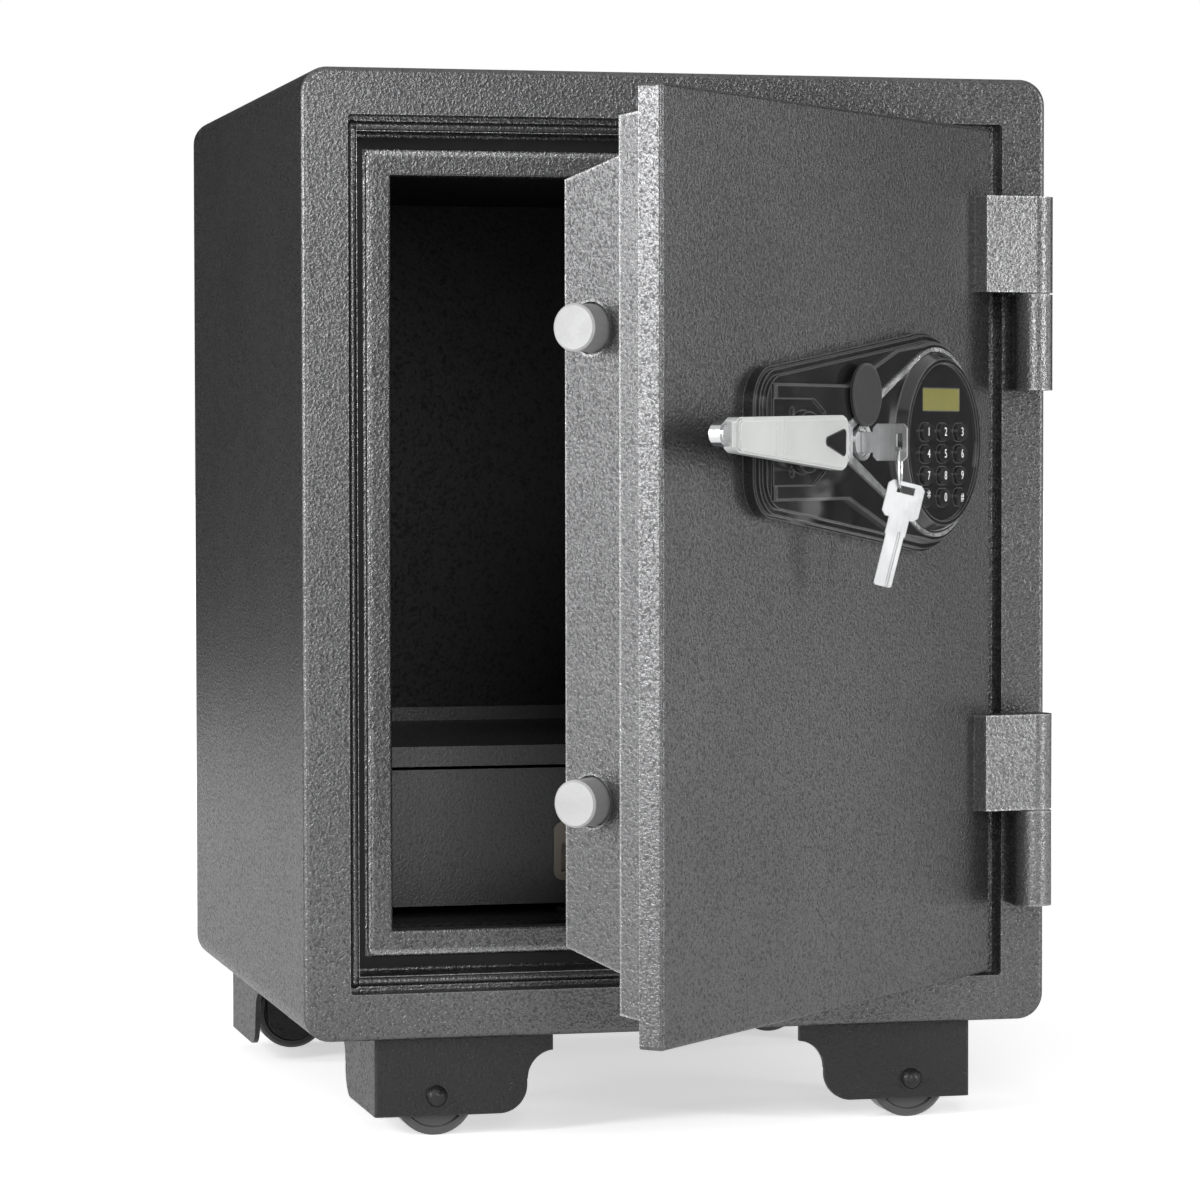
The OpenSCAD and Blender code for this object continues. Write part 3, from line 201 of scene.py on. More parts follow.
# Lines left by brushing or turning, drawn out along one axis
def brushedGroup():
    group, start, end = newGroup(
        "brushedLines",
        [("Stretch", "NodeSocketVector", (8.0, 900.0, 900.0)), ("Turn", "NodeSocketVector", (0.0, 0.0, 0.0))],
        [("Lines", "NodeSocketFloat"), ("Patch", "NodeSocketFloat")])
    place = put(group, "ShaderNodeTexCoord")
    turn = put(group, "ShaderNodeVectorRotate", rotation_type="EULER_XYZ")
    wire(group, place.outputs["Object"], turn.inputs["Vector"])
    wire(group, start.outputs["Turn"], turn.inputs["Rotation"])
    scaled = put(group, "ShaderNodeVectorMath", operation="MULTIPLY")
    wire(group, turn.outputs["Vector"], scaled.inputs[0])
    wire(group, start.outputs["Stretch"], scaled.inputs[1])
    lines = put(group, "ShaderNodeTexNoise", {"Scale": 1.0, "Detail": 3.0, "Roughness": 0.6})
    wire(group, scaled.outputs[0], lines.inputs["Vector"])
    wire(group, spread(group, lines.outputs["Fac"], 0.25, 0.75), end.inputs["Lines"])
    patch = put(group, "ShaderNodeTexNoise", {"Scale": 60.0, "Detail": 4.0, "Roughness": 0.55})
    wire(group, place.outputs["Object"], patch.inputs["Vector"])
    wire(group, spread(group, patch.outputs["Fac"], 0.3, 0.7), end.inputs["Patch"])
    return group


# Hair scratches and greasy smudges on smooth plastic and bright metal
def handlingGroup():
    group, start, end = newGroup(
        "handlingMarks",
        [("Scratch Scale", "NodeSocketFloat", 120.0), ("Scratches", "NodeSocketFloat", 0.5),
         ("Smudges", "NodeSocketFloat", 0.5)],
        [("Scratch", "NodeSocketFloat"), ("Smudge", "NodeSocketFloat")])
    place = put(group, "ShaderNodeTexCoord")
    total = None
    for angle, stretch in ((0.5, 26.0), (1.4, 34.0), (-0.7, 30.0)):
        turn = put(group, "ShaderNodeVectorRotate", rotation_type="EULER_XYZ")
        turn.inputs["Rotation"].default_value = (angle, 0.8 * angle, angle)
        wire(group, place.outputs["Object"], turn.inputs["Vector"])
        long = put(group, "ShaderNodeVectorMath", {1: (1.0, stretch, stretch)}, operation="MULTIPLY")
        wire(group, turn.outputs["Vector"], long.inputs[0])
        lines = put(group, "ShaderNodeTexNoise", {"Detail": 1.0, "Roughness": 0.4})
        wire(group, long.outputs[0], lines.inputs["Vector"])
        wire(group, maths(group, "MULTIPLY", start.outputs["Scratch Scale"], 0.25), lines.inputs["Scale"])
        middle = maths(group, "ABSOLUTE", maths(group, "SUBTRACT", lines.outputs["Fac"], 0.5))
        mark = spread(group, middle, 0.012, 0.0)
        total = mark if total is None else maths(group, "MAXIMUM", total, mark)
    thin = put(group, "ShaderNodeTexNoise", {"Scale": 45.0, "Detail": 2.0})
    wire(group, place.outputs["Object"], thin.inputs["Vector"])
    total = maths(group, "MULTIPLY", total, spread(group, thin.outputs["Fac"], 0.5, 0.66))
    total = maths(group, "MULTIPLY", total, start.outputs["Scratches"], clamp=True)
    wire(group, total, end.inputs["Scratch"])
    greaseLook = {"Scale": 38.0, "Detail": 5.0, "Roughness": 0.62, "Distortion": 0.8}
    grease = put(group, "ShaderNodeTexNoise", greaseLook)
    wire(group, place.outputs["Object"], grease.inputs["Vector"])
    film = spread(group, grease.outputs["Fac"], 0.42, 0.68)
    smudge = maths(group, "MULTIPLY", film, start.outputs["Smudges"], clamp=True)
    wire(group, smudge, end.inputs["Smudge"])
    return group


grainGroup = paintGrainGroup()
wearAndEdgeLightGroup = edgeWearAndLightGroup()
settledGroup = dustGroup()
linesGroup = brushedGroup()
marksGroup = handlingGroup()


def useGroup(tree, group, **values):
    node = tree.nodes.new("ShaderNodeGroup")
    node.node_tree = group
    for key, value in values.items():
        node.inputs[key.replace("_", " ")].default_value = value
    return node


def blendColour(tree, mask, first, second):
    node = put(tree, "ShaderNodeMix", data_type="RGBA")
    wire(tree, mask, node.inputs["Factor"])
    for socket, value in ((node.inputs[6], first), (node.inputs[7], second)):
        if isinstance(value, tuple):
            socket.default_value = (*value, 1.0)
        else:
            wire(tree, value, socket)
    return node.outputs[2]


def blendPart(tree, mask, amount, first, second):
    return blendColour(tree, maths(tree, "MULTIPLY", mask, amount), first, second)


def newMaterial(name):
    material = bpy.data.materials.new(name)
    material.use_nodes = True
    tree = material.node_tree
    return material, tree, tree.nodes["Principled BSDF"]


def bumpFrom(tree, height, distance, strength, shader):
    bump = put(tree, "ShaderNodeBump", {"Strength": strength, "Distance": distance})
    wire(tree, height, bump.inputs["Height"])
    wire(tree, bump.outputs["Normal"], shader.inputs["Normal"])


# Tones that more than one finish shows where it is worn or dusty
agedTones = {
    "bareMetal": (0.36, 0.36, 0.37),
    "dustOnPaint": (0.3, 0.29, 0.28),
    "dustOnPlastic": (0.28, 0.27, 0.26),
}


def hammeredPaint(name, look):
    material, tree, shader = newMaterial(name)
    grain = useGroup(tree, grainGroup, Bead_Size=look["bead"], Fine=look["fine"])
    wear = useGroup(tree, wearAndEdgeLightGroup, Reach=look["edge"], Amount=look["wear"])
    dust = useGroup(tree, settledGroup, Amount=look["dust"])
    colour = blendColour(tree, grain.outputs["Cloud"], look["colour"], look["colourB"])
    # darker colour in the grain's pits: painted shade in its hollows
    colour = blendPart(tree, grain.outputs["Pits"], look["pitShade"], colour, look["pitShadeColour"])
    # a lighter line along every edge: a painted highlight
    colour = blendPart(tree, wear.outputs["Painted Edge Light"], look["rim"], colour, look["paintedEdgeLightAndWearColour"])
    colour = blendColour(tree, wear.outputs["Wear"], colour, agedTones["bareMetal"])
    colour = blendColour(tree, dust.outputs["Dust"], colour, agedTones["dustOnPaint"])
    wire(tree, colour, shader.inputs["Base Color"])
    rough = maths(tree, "ADD", maths(tree, "MULTIPLY", grain.outputs["Pits"], 0.25), look["rough"])
    rough = maths(tree, "ADD", rough, maths(tree, "MULTIPLY", dust.outputs["Dust"], 0.4), clamp=True)
    wire(tree, rough, shader.inputs["Roughness"])
    bare = maths(tree, "MULTIPLY", wear.outputs["Wear"], 0.3)
    wire(tree, maths(tree, "ADD", bare, look["flake"]), shader.inputs["Metallic"])
    shader.inputs["Specular IOR Level"].default_value = 0.5
    shader.inputs["Specular Tint"].default_value = (look["graze"],) * 3 + (1.0,)
    bumpFrom(tree, grain.outputs["Height"], look["depth"], look["bump"], shader)
    return material


# rim and its colour paint a lighter line along the edges of each paint, a painted highlight
paintLooks = {
    "hammered_paint": {
        "bead": 0.0016, "fine": 0.3, "edge": 0.0012, "wear": 0.12, "dust": 0.03,
        "colour": (0.105, 0.105, 0.107), "colourB": (0.12, 0.12, 0.122), "pitShade": 0.55,
        "pitShadeColour": (0.03, 0.03, 0.031), "rim": 0.35, "flake": 0.85, "paintedEdgeLightAndWearColour": (0.3, 0.3, 0.302),
        "rough": 0.27, "depth": 0.00023, "bump": 1.0, "graze": 0.57,
    },
    "frame_paint": {
        "bead": 0.0016, "fine": 0.3, "edge": 0.0026, "wear": 0.1, "dust": 0.03,
        "colour": (0.105, 0.105, 0.107), "colourB": (0.12, 0.12, 0.122), "pitShade": 0.55,
        "pitShadeColour": (0.03, 0.03, 0.031), "rim": 0.7, "flake": 0.85, "paintedEdgeLightAndWearColour": (0.36, 0.36, 0.362),
        "rough": 0.27, "depth": 0.00021, "bump": 1.0, "graze": 0.57,
    },
    # a lighter copy of the hammered paint for the hinges: a painted highlight
    "leaf_paint": {
        "bead": 0.0016, "fine": 0.3, "edge": 0.0022, "wear": 0.15, "dust": 0.03,
        "colour": (0.16, 0.16, 0.162), "colourB": (0.18, 0.18, 0.182), "pitShade": 0.5,
        "pitShadeColour": (0.05, 0.05, 0.051), "rim": 0.6, "flake": 0.85, "paintedEdgeLightAndWearColour": (0.4, 0.4, 0.402),
        "rough": 0.27, "depth": 0.00021, "bump": 1.0, "graze": 0.57,
    },
    "castor_paint": {
        "bead": 0.0016, "fine": 0.3, "edge": 0.0012, "wear": 0.2, "dust": 0.02,
        "colour": (0.028, 0.028, 0.029), "colourB": (0.034, 0.034, 0.035), "pitShade": 0.3,
        "pitShadeColour": (0.018, 0.018, 0.018), "rim": 0.1, "flake": 0.6, "paintedEdgeLightAndWearColour": (0.1, 0.1, 0.102),
        "rough": 0.3, "depth": 0.00021, "bump": 1.0, "graze": 0.57,
    },
    "inside_paint": {
        "bead": 0.002, "fine": 0.3, "edge": 0.0012, "wear": 0.08, "dust": 0.02,
        "colour": (0.004, 0.004, 0.0042), "colourB": (0.005, 0.005, 0.0052), "pitShade": 0.3,
        "pitShadeColour": (0.005, 0.005, 0.005), "rim": 0.1, "flake": 0.0,
        "paintedEdgeLightAndWearColour": (0.012, 0.012, 0.0125), "rough": 0.55, "depth": 0.00021, "bump": 1.0,
        "graze": 0.57,
    },
    "drawer_paint": {
        "bead": 0.0015, "fine": 0.3, "edge": 0.001, "wear": 0.1, "dust": 0.03,
        "colour": (0.075, 0.075, 0.076), "colourB": (0.085, 0.085, 0.086), "pitShade": 0.3,
        "pitShadeColour": (0.03, 0.03, 0.03), "rim": 0.1, "flake": 0.3, "paintedEdgeLightAndWearColour": (0.12, 0.12, 0.122),
        "rough": 0.34, "depth": 0.00015, "bump": 1.0, "graze": 0.57,
    },
}


def brightMetal(name, look):
    material, tree, shader = newMaterial(name)
    lines = useGroup(tree, linesGroup, Stretch=look["stretch"], Turn=look["turn"])
    marks = useGroup(tree, marksGroup, Scratches=look["scratches"], Smudges=look["smudges"])
    wear = useGroup(tree, wearAndEdgeLightGroup, Reach=look["edge"], Amount=look["wear"])
    colour = blendColour(tree, lines.outputs["Lines"], look["colour"], look["colourB"])
    colour = blendPart(tree, lines.outputs["Patch"], look["patch"], colour, look["patchColour"])
    colour = blendColour(tree, wear.outputs["Wear"], colour, look["edgeColour"])
    # a line along every edge: light on chrome and the lever, a painted highlight; dark on keys and bolts,
    # painted shade
    colour = blendPart(tree, wear.outputs["Painted Edge Light"], look["rim"], colour, look["paintedEdgeLightAndWearColour"])
    wire(tree, colour, shader.inputs["Base Color"])
    rough = maths(tree, "MULTIPLY", lines.outputs["Lines"], look["lineRough"])
    rough = maths(tree, "ADD", rough, look["rough"])
    rough = maths(tree, "ADD", rough, maths(tree, "MULTIPLY", marks.outputs["Smudge"], 0.16))
    rough = maths(tree, "ADD", rough, maths(tree, "MULTIPLY", marks.outputs["Scratch"], 0.22), clamp=True)
    shader.inputs["Metallic"].default_value = look["metal"]
    if "tip" in look:
        tip = look["tip"]
        spot = put(tree, "ShaderNodeTexCoord")
        along = put(tree, "ShaderNodeVectorMath", {1: tip["along"]}, operation="DOT_PRODUCT")
        wire(tree, spot.outputs["Object"], along.inputs[0])
        mask = spread(tree, along.outputs["Value"], tip["start"], tip["end"])
        wire(tree, blendColour(tree, mask, colour, tip["colour"]), shader.inputs["Base Color"])
        rough = maths(tree, "SUBTRACT", rough, maths(tree, "MULTIPLY", mask, tip["polish"]), clamp=True)
        metal = maths(tree, "ADD", maths(tree, "MULTIPLY", mask, 1.0 - look["metal"]), look["metal"])
        wire(tree, metal, shader.inputs["Metallic"])
    wire(tree, rough, shader.inputs["Roughness"])
    height = maths(tree, "MULTIPLY", lines.outputs["Lines"], 0.6)
    height = maths(tree, "SUBTRACT", height, marks.outputs["Scratch"])
    bumpFrom(tree, height, look["depth"], 0.5, shader)
    return material


# rim and its colour paint a line along the edges: light ones are painted highlights, dark ones painted shade
metalLooks = {
    "chrome": {
        "stretch": (300.0, 300.0, 300.0), "turn": (0, 0, 0), "scratches": 0.5, "smudges": 0.6,
        "edge": 0.0006, "wear": 0.2, "colour": (0.62, 0.625, 0.63), "colourB": (0.68, 0.685, 0.69),
        "patch": 0.25, "patchColour": (0.5, 0.505, 0.51), "edgeColour": (0.9, 0.9, 0.9),
        "lineRough": 0.04, "rough": 0.17, "metal": 0.9, "depth": 0.00002, "rim": 0.4,
        "paintedEdgeLightAndWearColour": (0.9, 0.9, 0.9),
    },
    "key_metal": {
        "stretch": (60.0, 900.0, 60.0), "turn": (0, 0, -0.8), "scratches": 0.7, "smudges": 0.5,
        "edge": 0.0008, "wear": 0.1, "colour": (0.4, 0.403, 0.407), "colourB": (0.47, 0.473, 0.477),
        "patch": 0.5, "patchColour": (0.3, 0.303, 0.306), "edgeColour": (0.9, 0.9, 0.9),
        "lineRough": 0.06, "rough": 0.38, "metal": 0.8, "depth": 0.00004, "rim": 0.75,
        "paintedEdgeLightAndWearColour": (0.06, 0.06, 0.06),
    },
    "steel": {
        "stretch": (40.0, 900.0, 900.0), "turn": (0, 0, -0.8), "scratches": 0.6, "smudges": 0.6,
        "edge": 0.0008, "wear": 0.4, "colour": (0.35, 0.35, 0.35), "colourB": (0.4, 0.4, 0.403),
        "patch": 0.25, "patchColour": (0.3, 0.3, 0.3), "edgeColour": (0.7, 0.7, 0.7), "lineRough": 0.1,
        "rough": 0.6, "metal": 0.3, "depth": 0.00004, "rim": 0.3, "paintedEdgeLightAndWearColour": (0.15, 0.15, 0.15),
    },
    "silver_plate": {
        "stretch": (30.0, 700.0, 30.0), "turn": (0, 0, -0.8), "scratches": 0.45, "smudges": 0.5,
        "edge": 0.0009, "wear": 0.5, "colour": (0.46, 0.47, 0.46), "colourB": (0.51, 0.52, 0.51),
        "patch": 0.2, "patchColour": (0.43, 0.44, 0.43), "edgeColour": (0.85, 0.85, 0.85),
        "lineRough": 0.08, "rough": 0.36, "metal": 0.4, "depth": 0.00002, "rim": 0.6,
        "paintedEdgeLightAndWearColour": (0.72, 0.72, 0.72),
        # the lever's chromed end, by its place along the open door (m)
        "tip": {
            "along": (math.cos(doorPlan["turn"]), math.sin(doorPlan["turn"]), 0.0),
            "start": -0.3772, "end": -0.3782, "colour": (0.5, 0.505, 0.51), "polish": 0.26,
        },
    },
}


def mouldedPlastic(name, look):
    material, tree, shader = newMaterial(name)
    grain = useGroup(tree, grainGroup, Bead_Size=look["bead"], Fine=0.4)
    marks = useGroup(tree, marksGroup, Scratches=look["scratches"], Smudges=look["smudges"])
    wear = useGroup(tree, wearAndEdgeLightGroup, Reach=look["edge"], Amount=look["wear"])
    dust = useGroup(tree, settledGroup, Amount=look["dust"])
    colour = blendColour(tree, grain.outputs["Cloud"], look["colour"], look["colourB"])
    # a lighter line along every edge: a painted highlight; the same colour below is the colour of worn edges
    colour = blendPart(tree, wear.outputs["Painted Edge Light"], look["rim"], colour, look["paintedEdgeLightAndWearColour"])
    colour = blendColour(tree, wear.outputs["Wear"], colour, look["paintedEdgeLightAndWearColour"])
    colour = blendColour(tree, dust.outputs["Dust"], colour, agedTones["dustOnPlastic"])
    wire(tree, colour, shader.inputs["Base Color"])
    rough = maths(tree, "ADD", maths(tree, "MULTIPLY", marks.outputs["Smudge"], 0.14), look["rough"])
    rough = maths(tree, "ADD", rough, maths(tree, "MULTIPLY", marks.outputs["Scratch"], 0.25))
    rough = maths(tree, "ADD", rough, maths(tree, "MULTIPLY", dust.outputs["Dust"], 0.5), clamp=True)
    wire(tree, rough, shader.inputs["Roughness"])
    shader.inputs["Specular IOR Level"].default_value = look["shine"]
    cuts = maths(tree, "MULTIPLY", marks.outputs["Scratch"], 0.7)
    height = maths(tree, "SUBTRACT", grain.outputs["Height"], cuts)
    bumpFrom(tree, height, look["depth"], look["bump"], shader)
    return material


# rim and its colour paint a lighter line along the edges, a painted highlight; that colour is also the worn
# edge colour
plasticLooks = {
    "panel_plastic": {
        "bead": 0.0011, "scratches": 0.25, "smudges": 0.25, "edge": 0.0012, "wear": 0.1, "dust": 0.03,
        "rim": 0.85, "colour": (0.012, 0.012, 0.013), "colourB": (0.016, 0.016, 0.017),
        "paintedEdgeLightAndWearColour": (0.2, 0.2, 0.203), "rough": 0.13, "shine": 0.55, "depth": 0.00003, "bump": 0.25,
    },
    "cover_plastic": {
        "bead": 0.0008, "scratches": 0.3, "smudges": 0.4, "edge": 0.0009, "wear": 0.1, "dust": 0.05,
        "rim": 0.8, "colour": (0.013, 0.013, 0.0135), "colourB": (0.016, 0.016, 0.0165),
        "paintedEdgeLightAndWearColour": (0.12, 0.12, 0.122), "rough": 0.45, "shine": 0.3, "depth": 0.00012, "bump": 0.6,
    },
    "button_rubber": {
        "bead": 0.0006, "scratches": 0.2, "smudges": 0.6, "edge": 0.0008, "wear": 0.1, "dust": 0.08,
        "rim": 0.4, "colour": (0.01, 0.01, 0.011), "colourB": (0.014, 0.014, 0.015),
        "paintedEdgeLightAndWearColour": (0.06, 0.06, 0.06), "rough": 0.16, "shine": 0.6, "depth": 0.00002, "bump": 0.25,
    },
    "pull_plastic": {
        "bead": 0.0009, "scratches": 0.5, "smudges": 0.5, "edge": 0.0012, "wear": 0.2, "dust": 0.08,
        "rim": 0.4, "colour": (0.27, 0.235, 0.19), "colourB": (0.3, 0.262, 0.21),
        "paintedEdgeLightAndWearColour": (0.42, 0.38, 0.32), "rough": 0.36, "shine": 0.5, "depth": 0.00008, "bump": 0.35,
    },
    "wheel_plastic": {
        "bead": 0.001, "scratches": 0.8, "smudges": 0.5, "edge": 0.0014, "wear": 0.4, "dust": 0.35,
        "rim": 0.35, "colour": (0.05, 0.05, 0.052), "colourB": (0.062, 0.062, 0.064),
        "paintedEdgeLightAndWearColour": (0.13, 0.13, 0.13), "rough": 0.34, "shine": 0.5, "depth": 0.0001, "bump": 0.4,
    },
    "box_plastic": {
        "bead": 0.0008, "scratches": 0.4, "smudges": 0.4, "edge": 0.0012, "wear": 0.15, "dust": 0.12,
        "rim": 0.3, "colour": (0.016, 0.016, 0.017), "colourB": (0.02, 0.02, 0.021),
        "paintedEdgeLightAndWearColour": (0.06, 0.06, 0.062), "rough": 0.5, "shine": 0.45, "depth": 0.00015, "bump": 0.5,
    },
    "seal": {
        "bead": 0.0012, "scratches": 0.2, "smudges": 0.3, "edge": 0.0008, "wear": 0.1, "dust": 0.2,
        "rim": 0.2, "colour": (0.012, 0.012, 0.012), "colourB": (0.018, 0.018, 0.018),
        "paintedEdgeLightAndWearColour": (0.04, 0.04, 0.04), "rough": 0.75, "shine": 0.3, "depth": 0.0002, "bump": 0.6,
    },
    "fire_filling": {
        "bead": 0.003, "scratches": 0.3, "smudges": 0.3, "edge": 0.002, "wear": 0.2, "dust": 0.1,
        "rim": 0.2, "colour": (0.52, 0.49, 0.42), "colourB": (0.6, 0.57, 0.5),
        "paintedEdgeLightAndWearColour": (0.68, 0.65, 0.58), "rough": 0.9, "shine": 0.2, "depth": 0.0008, "bump": 0.8,
    },
}


# The display: a dull yellow-green glass with the faint rows of its blank digits
displayLook = {
    "colour": (0.2, 0.19, 0.06),
    "colourB": (0.25, 0.235, 0.08),
    "rowColour": (0.16, 0.15, 0.05),
    "rowScale": 420.0,
    "rowMix": 0.08,
    "rough": 0.14,
    "coat": 0.4,
}


def displayGlass(name, look):
    material, tree, shader = newMaterial(name)
    marks = useGroup(tree, marksGroup, Scratches=0.3, Smudges=0.6)
    place = put(tree, "ShaderNodeTexCoord")
    cloud = put(tree, "ShaderNodeTexNoise", {"Scale": 60.0, "Detail": 3.0})
    wire(tree, place.outputs["Object"], cloud.inputs["Vector"])
    rows = put(tree, "ShaderNodeTexWave", {"Scale": look["rowScale"], "Distortion": 0.0},
               wave_type="BANDS", bands_direction="Z")
    wire(tree, place.outputs["Object"], rows.inputs["Vector"])
    colour = blendColour(tree, cloud.outputs["Fac"], look["colour"], look["colourB"])
    colour = blendPart(tree, rows.outputs["Fac"], look["rowMix"], colour, look["rowColour"])
    wire(tree, colour, shader.inputs["Base Color"])
    film = maths(tree, "MULTIPLY", marks.outputs["Smudge"], 0.2)
    wire(tree, maths(tree, "ADD", film, look["rough"]), shader.inputs["Roughness"])
    shader.inputs["Coat Weight"].default_value = look["coat"]
    bumpFrom(tree, marks.outputs["Scratch"], 0.00001, 0.2, shader)
    return material


# White print on the buttons
inkLook = {
    "colour": (0.82, 0.82, 0.82),
    "smudged": (0.62, 0.62, 0.62),
    "scratched": (0.25, 0.25, 0.25),
    "rough": 0.4,
}


def printedInk(name, look):
    material, tree, shader = newMaterial(name)
    marks = useGroup(tree, marksGroup, Scratches=0.6, Smudges=0.5)
    colour = blendColour(tree, marks.outputs["Smudge"], look["colour"], look["smudged"])
    colour = blendColour(tree, marks.outputs["Scratch"], colour, look["scratched"])
    wire(tree, colour, shader.inputs["Base Color"])
    film = maths(tree, "MULTIPLY", marks.outputs["Smudge"], 0.2)
    wire(tree, maths(tree, "ADD", film, look["rough"]), shader.inputs["Roughness"])
    bumpFrom(tree, marks.outputs["Scratch"], 0.00001, 0.3, shader)
    return material


finish = {}
for name, look in paintLooks.items():
    finish[name] = hammeredPaint(name, look)
for name, look in metalLooks.items():
    finish[name] = brightMetal(name, look)
for name, look in plasticLooks.items():
    finish[name] = mouldedPlastic(name, look)
finish["display"] = displayGlass("display", displayLook)
inkWhite = printedInk("button_print", inkLook)
print("finishes made:", len(finish) + 1)

# Pieces that look a little different from the rest of their slot; the hinges take a lighter copy of the
# paint, a painted highlight
ownLook = {
    "key_cover": "cover_plastic", "key_in_lock": "key_metal", "spare_key": "key_metal",
    "hinge_leaf_upper": "leaf_paint", "hinge_leaf_lower": "leaf_paint",
    "hinge_base_upper": "leaf_paint", "hinge_base_lower": "leaf_paint",
    "bolt_upper": "steel", "bolt_lower": "steel",
}
for name, part in nodes.items():
    part.data.materials.clear()
    part.data.materials.append(finish[ownLook.get(name, slotOf[name])])

# Folded and moulded edges are softened where the light catches them (widths in m)
edgeSoftening = {
    "door_step": 0.0012, "door_plug": 0.0014,
    "drawer_front": 0.0006, "drawer_pull": 0.0007, "shelf": 0.0004,
    "panel_base": 0.0008, "panel_island": 0.0005, "lever": 0.0004, "battery_box": 0.0008,
    "hinge_base_upper": 0.0009, "hinge_base_lower": 0.0009,
    "hinge_leaf_upper": 0.0009, "hinge_leaf_lower": 0.0009,
    "caster_front_left": 0.0006, "caster_front_right": 0.0006,
    "caster_rear_left": 0.0006, "caster_rear_right": 0.0006,
    "key_in_lock": 0.00025, "spare_key": 0.00025, "bright_trim": 0.0002, "lock_plug": 0.0003,
}
softEdgeShape = {"segments": 2, "angle": math.radians(35)}
for name, width in edgeSoftening.items():
    soft = nodes[name].modifiers.new("softEdge", "BEVEL")
    soft.width = width
    soft.segments = softEdgeShape["segments"]
    soft.limit_method = "ANGLE"
    soft.angle_limit = softEdgeShape["angle"]
print("edges softened:", len(edgeSoftening))


# From the closed door's millimetres to the place in the room
def doorPlace(x, y, z):
    hinge = Vector(doorPlan["hinge"])
    spin = Matrix.Translation(hinge) @ Matrix.Rotation(doorPlan["turn"], 4, "Z") @ Matrix.Translation(-hinge)
    y, z = y - doorPlan["depthOrigin"], z + doorPlan["underside"]
    return spin @ Vector((x / 1000, y / 1000, z / 1000))


# Numbers printed on the twelve buttons
buttonPrint = {
    "middle": (81.6, 295.6),     # keypad centre from the middle, third row's height
    "pitch": (19.6, 11.2),
    "faceDepth": -20.2,          # front of the buttons
    "size": 0.0062,              # type size of the digits (m)
    "starSize": 1.5,             # the star against the digits
    "thickness": 0.00008,
    "rows": (("1", "2", "3"), ("4", "5", "6"), ("7", "8", "9"), ("*", "0", "#")),
    "names": (("1", "2", "3"), ("4", "5", "6"), ("7", "8", "9"), ("star", "0", "hash")),
}


def printButton(mark, name, x, z):
    letter = bpy.data.curves.new("print_" + name, "FONT")
    letter.body = mark
    letter.size = buttonPrint["size"] * (buttonPrint["starSize"] if mark == "*" else 1.0)
    letter.align_x, letter.align_y = "CENTER", "CENTER"
    letter.extrude = buttonPrint["thickness"] / 2
    rough = bpy.data.objects.new("print_" + name, letter)
    bpy.context.collection.objects.link(rough)
    mesh = bpy.data.meshes.new_from_object(rough.evaluated_get(bpy.context.evaluated_depsgraph_get()))
    bpy.data.objects.remove(rough)
    upright = Matrix.Rotation(doorPlan["turn"], 4, "Z") @ Matrix.Rotation(math.radians(90), 4, "X")
    where = doorPlace(x, buttonPrint["faceDepth"] - buttonPrint["thickness"] * 500, z)
    mesh.transform(Matrix.Translation(where) @ upright)
    piece = bpy.data.objects.new("print_" + name, mesh)
    bpy.context.collection.objects.link(piece)
    mesh.materials.clear()
    mesh.materials.append(inkWhite)
    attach(piece, "button_" + name)


for rowIndex, row in enumerate(buttonPrint["rows"]):
    for columnIndex, mark in enumerate(row):
        px = buttonPrint["middle"][0] + (columnIndex - 1) * buttonPrint["pitch"][0]
        pz = buttonPrint["middle"][1] + (2 - rowIndex) * buttonPrint["pitch"][1]
        printButton(mark, buttonPrint["names"][rowIndex][columnIndex], px, pz)
print("buttons printed")

# Floor, backdrop colour and studio lamps
studio = {
    "floorSize": 60.0,
    "floorTone": (0.86, 0.86, 0.86),
    # glow of the floor for camera and glossy paint: near the safe, far away, from and to (m)
    "floorLift": (0.56, 1.0, 0.9, 2.0),
    "worldTone": (0.42, 0.42, 0.42),
    # dark felt hung round the set, above which the pale world lights the object
    "felt": {"radius": 3.5, "height": 2.6, "tone": 0.025},
    "lamps": (
        # name, place, aim, size across, size up, watts
        ("leftBack", (-2.69, 0.14, 1.0), (0.0, -0.2, 0.35), 0.62, 1.5, 32.0),
        ("leftFront", (-2.45, -1.24, 1.0), (0.0, -0.2, 0.35), 0.62, 1.5, 56.0),
        ("frontMiddle", (-0.38, -2.77, 1.1), (0.0, -0.2, 0.35), 0.62, 1.5, 36.0),
        ("frontRight", (2.07, -1.84, 0.8), (0.0, -0.2, 0.3), 0.62, 1.5, 32.0),
        ("right", (2.7, -0.1, 0.8), (0.0, -0.2, 0.3), 0.62, 1.5, 10.0),
    ),
}


def isSeen(tree):
    path = put(tree, "ShaderNodeLightPath")
    seen = maths(tree, "MAXIMUM", path.outputs["Is Camera Ray"], path.outputs["Is Glossy Ray"])
    return maths(tree, "MAXIMUM", seen, path.outputs["Is Transmission Ray"])


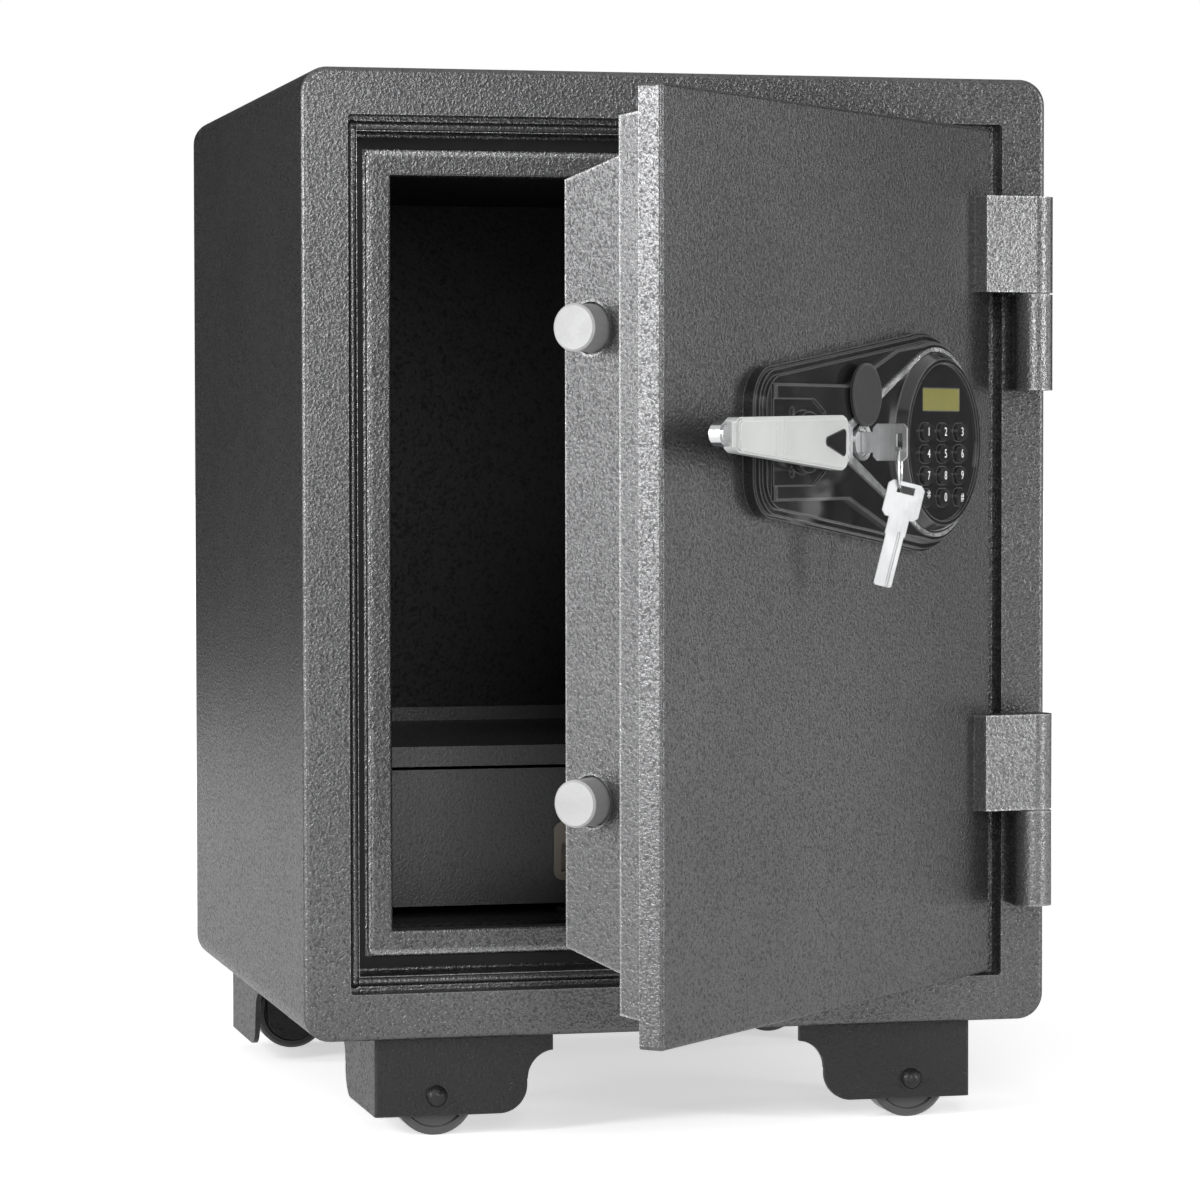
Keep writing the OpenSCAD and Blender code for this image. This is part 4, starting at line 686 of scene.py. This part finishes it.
def makeStudio(plan):
    bpy.ops.mesh.primitive_plane_add(size=plan["floorSize"], location=(0, 0, 0))
    floor = bpy.context.object
    floor.name = "studio_floor"
    material, tree, shader = newMaterial("studio_floor")
    fade = put(tree, "ShaderNodeTexNoise", {"Scale": 3.0, "Detail": 2.0})
    tones = [tuple(part * level for level in plan["floorTone"]) for part in (1.0, 0.99)]
    tone = blendColour(tree, fade.outputs["Fac"], *tones)
    wire(tree, tone, shader.inputs["Base Color"])
    shader.inputs["Roughness"].default_value = 0.9
    shader.inputs["Specular IOR Level"].default_value = 0.0
    shader.inputs["Emission Color"].default_value = (1, 1, 1, 1)
    near, far, fadeFrom, fadeTo = plan["floorLift"]
    spot = put(tree, "ShaderNodeTexCoord")
    reach = put(tree, "ShaderNodeVectorMath", operation="LENGTH")
    wire(tree, spot.outputs["Object"], reach.inputs[0])
    glow = spread(tree, reach.outputs["Value"], fadeFrom, fadeTo, near, far)
    wire(tree, maths(tree, "MULTIPLY", isSeen(tree), glow), shader.inputs["Emission Strength"])
    floor.data.materials.append(material)
    world = bpy.data.worlds.new("studio")
    world.use_nodes = True
    bpy.context.scene.world = world
    tree = world.node_tree
    back = tree.nodes["Background"]
    tone = blendColour(tree, isSeen(tree), plan["worldTone"], (1.0, 1.0, 1.0))
    wire(tree, tone, back.inputs["Color"])
    back.inputs["Strength"].default_value = 1.0
    for name, place, aim, across, upward, watts in plan["lamps"]:
        light = bpy.data.lights.new(name, "AREA")
        light.shape = "RECTANGLE"
        light.size, light.size_y = across, upward
        light.energy = watts
        lamp = bpy.data.objects.new(name, light)
        bpy.context.collection.objects.link(lamp)
        lamp.location = place
        lamp.rotation_mode = "QUATERNION"
        lamp.rotation_quaternion = (Vector(aim) - Vector(place)).to_track_quat("-Z", "Y")
    felt = plan["felt"]
    bpy.ops.mesh.primitive_cylinder_add(vertices=96, radius=felt["radius"], depth=felt["height"],
                                        end_fill_type="NOTHING", location=(0, 0, felt["height"] / 2))
    wall = bpy.context.object
    wall.name = "studio_felt"
    wall.visible_camera = False
    dark, tree, shader = newMaterial("studio_felt")
    nap = put(tree, "ShaderNodeTexNoise", {"Scale": 40.0, "Detail": 2.0})
    tones = [(k * felt["tone"],) * 3 for k in (0.8, 1.2)]
    wire(tree, blendColour(tree, nap.outputs["Fac"], *tones), shader.inputs["Base Color"])
    shader.inputs["Roughness"].default_value = 1.0
    wall.data.materials.append(dark)


makeStudio(studio)
bpy.context.scene.view_settings.view_transform = "Standard"
print("studio lit")
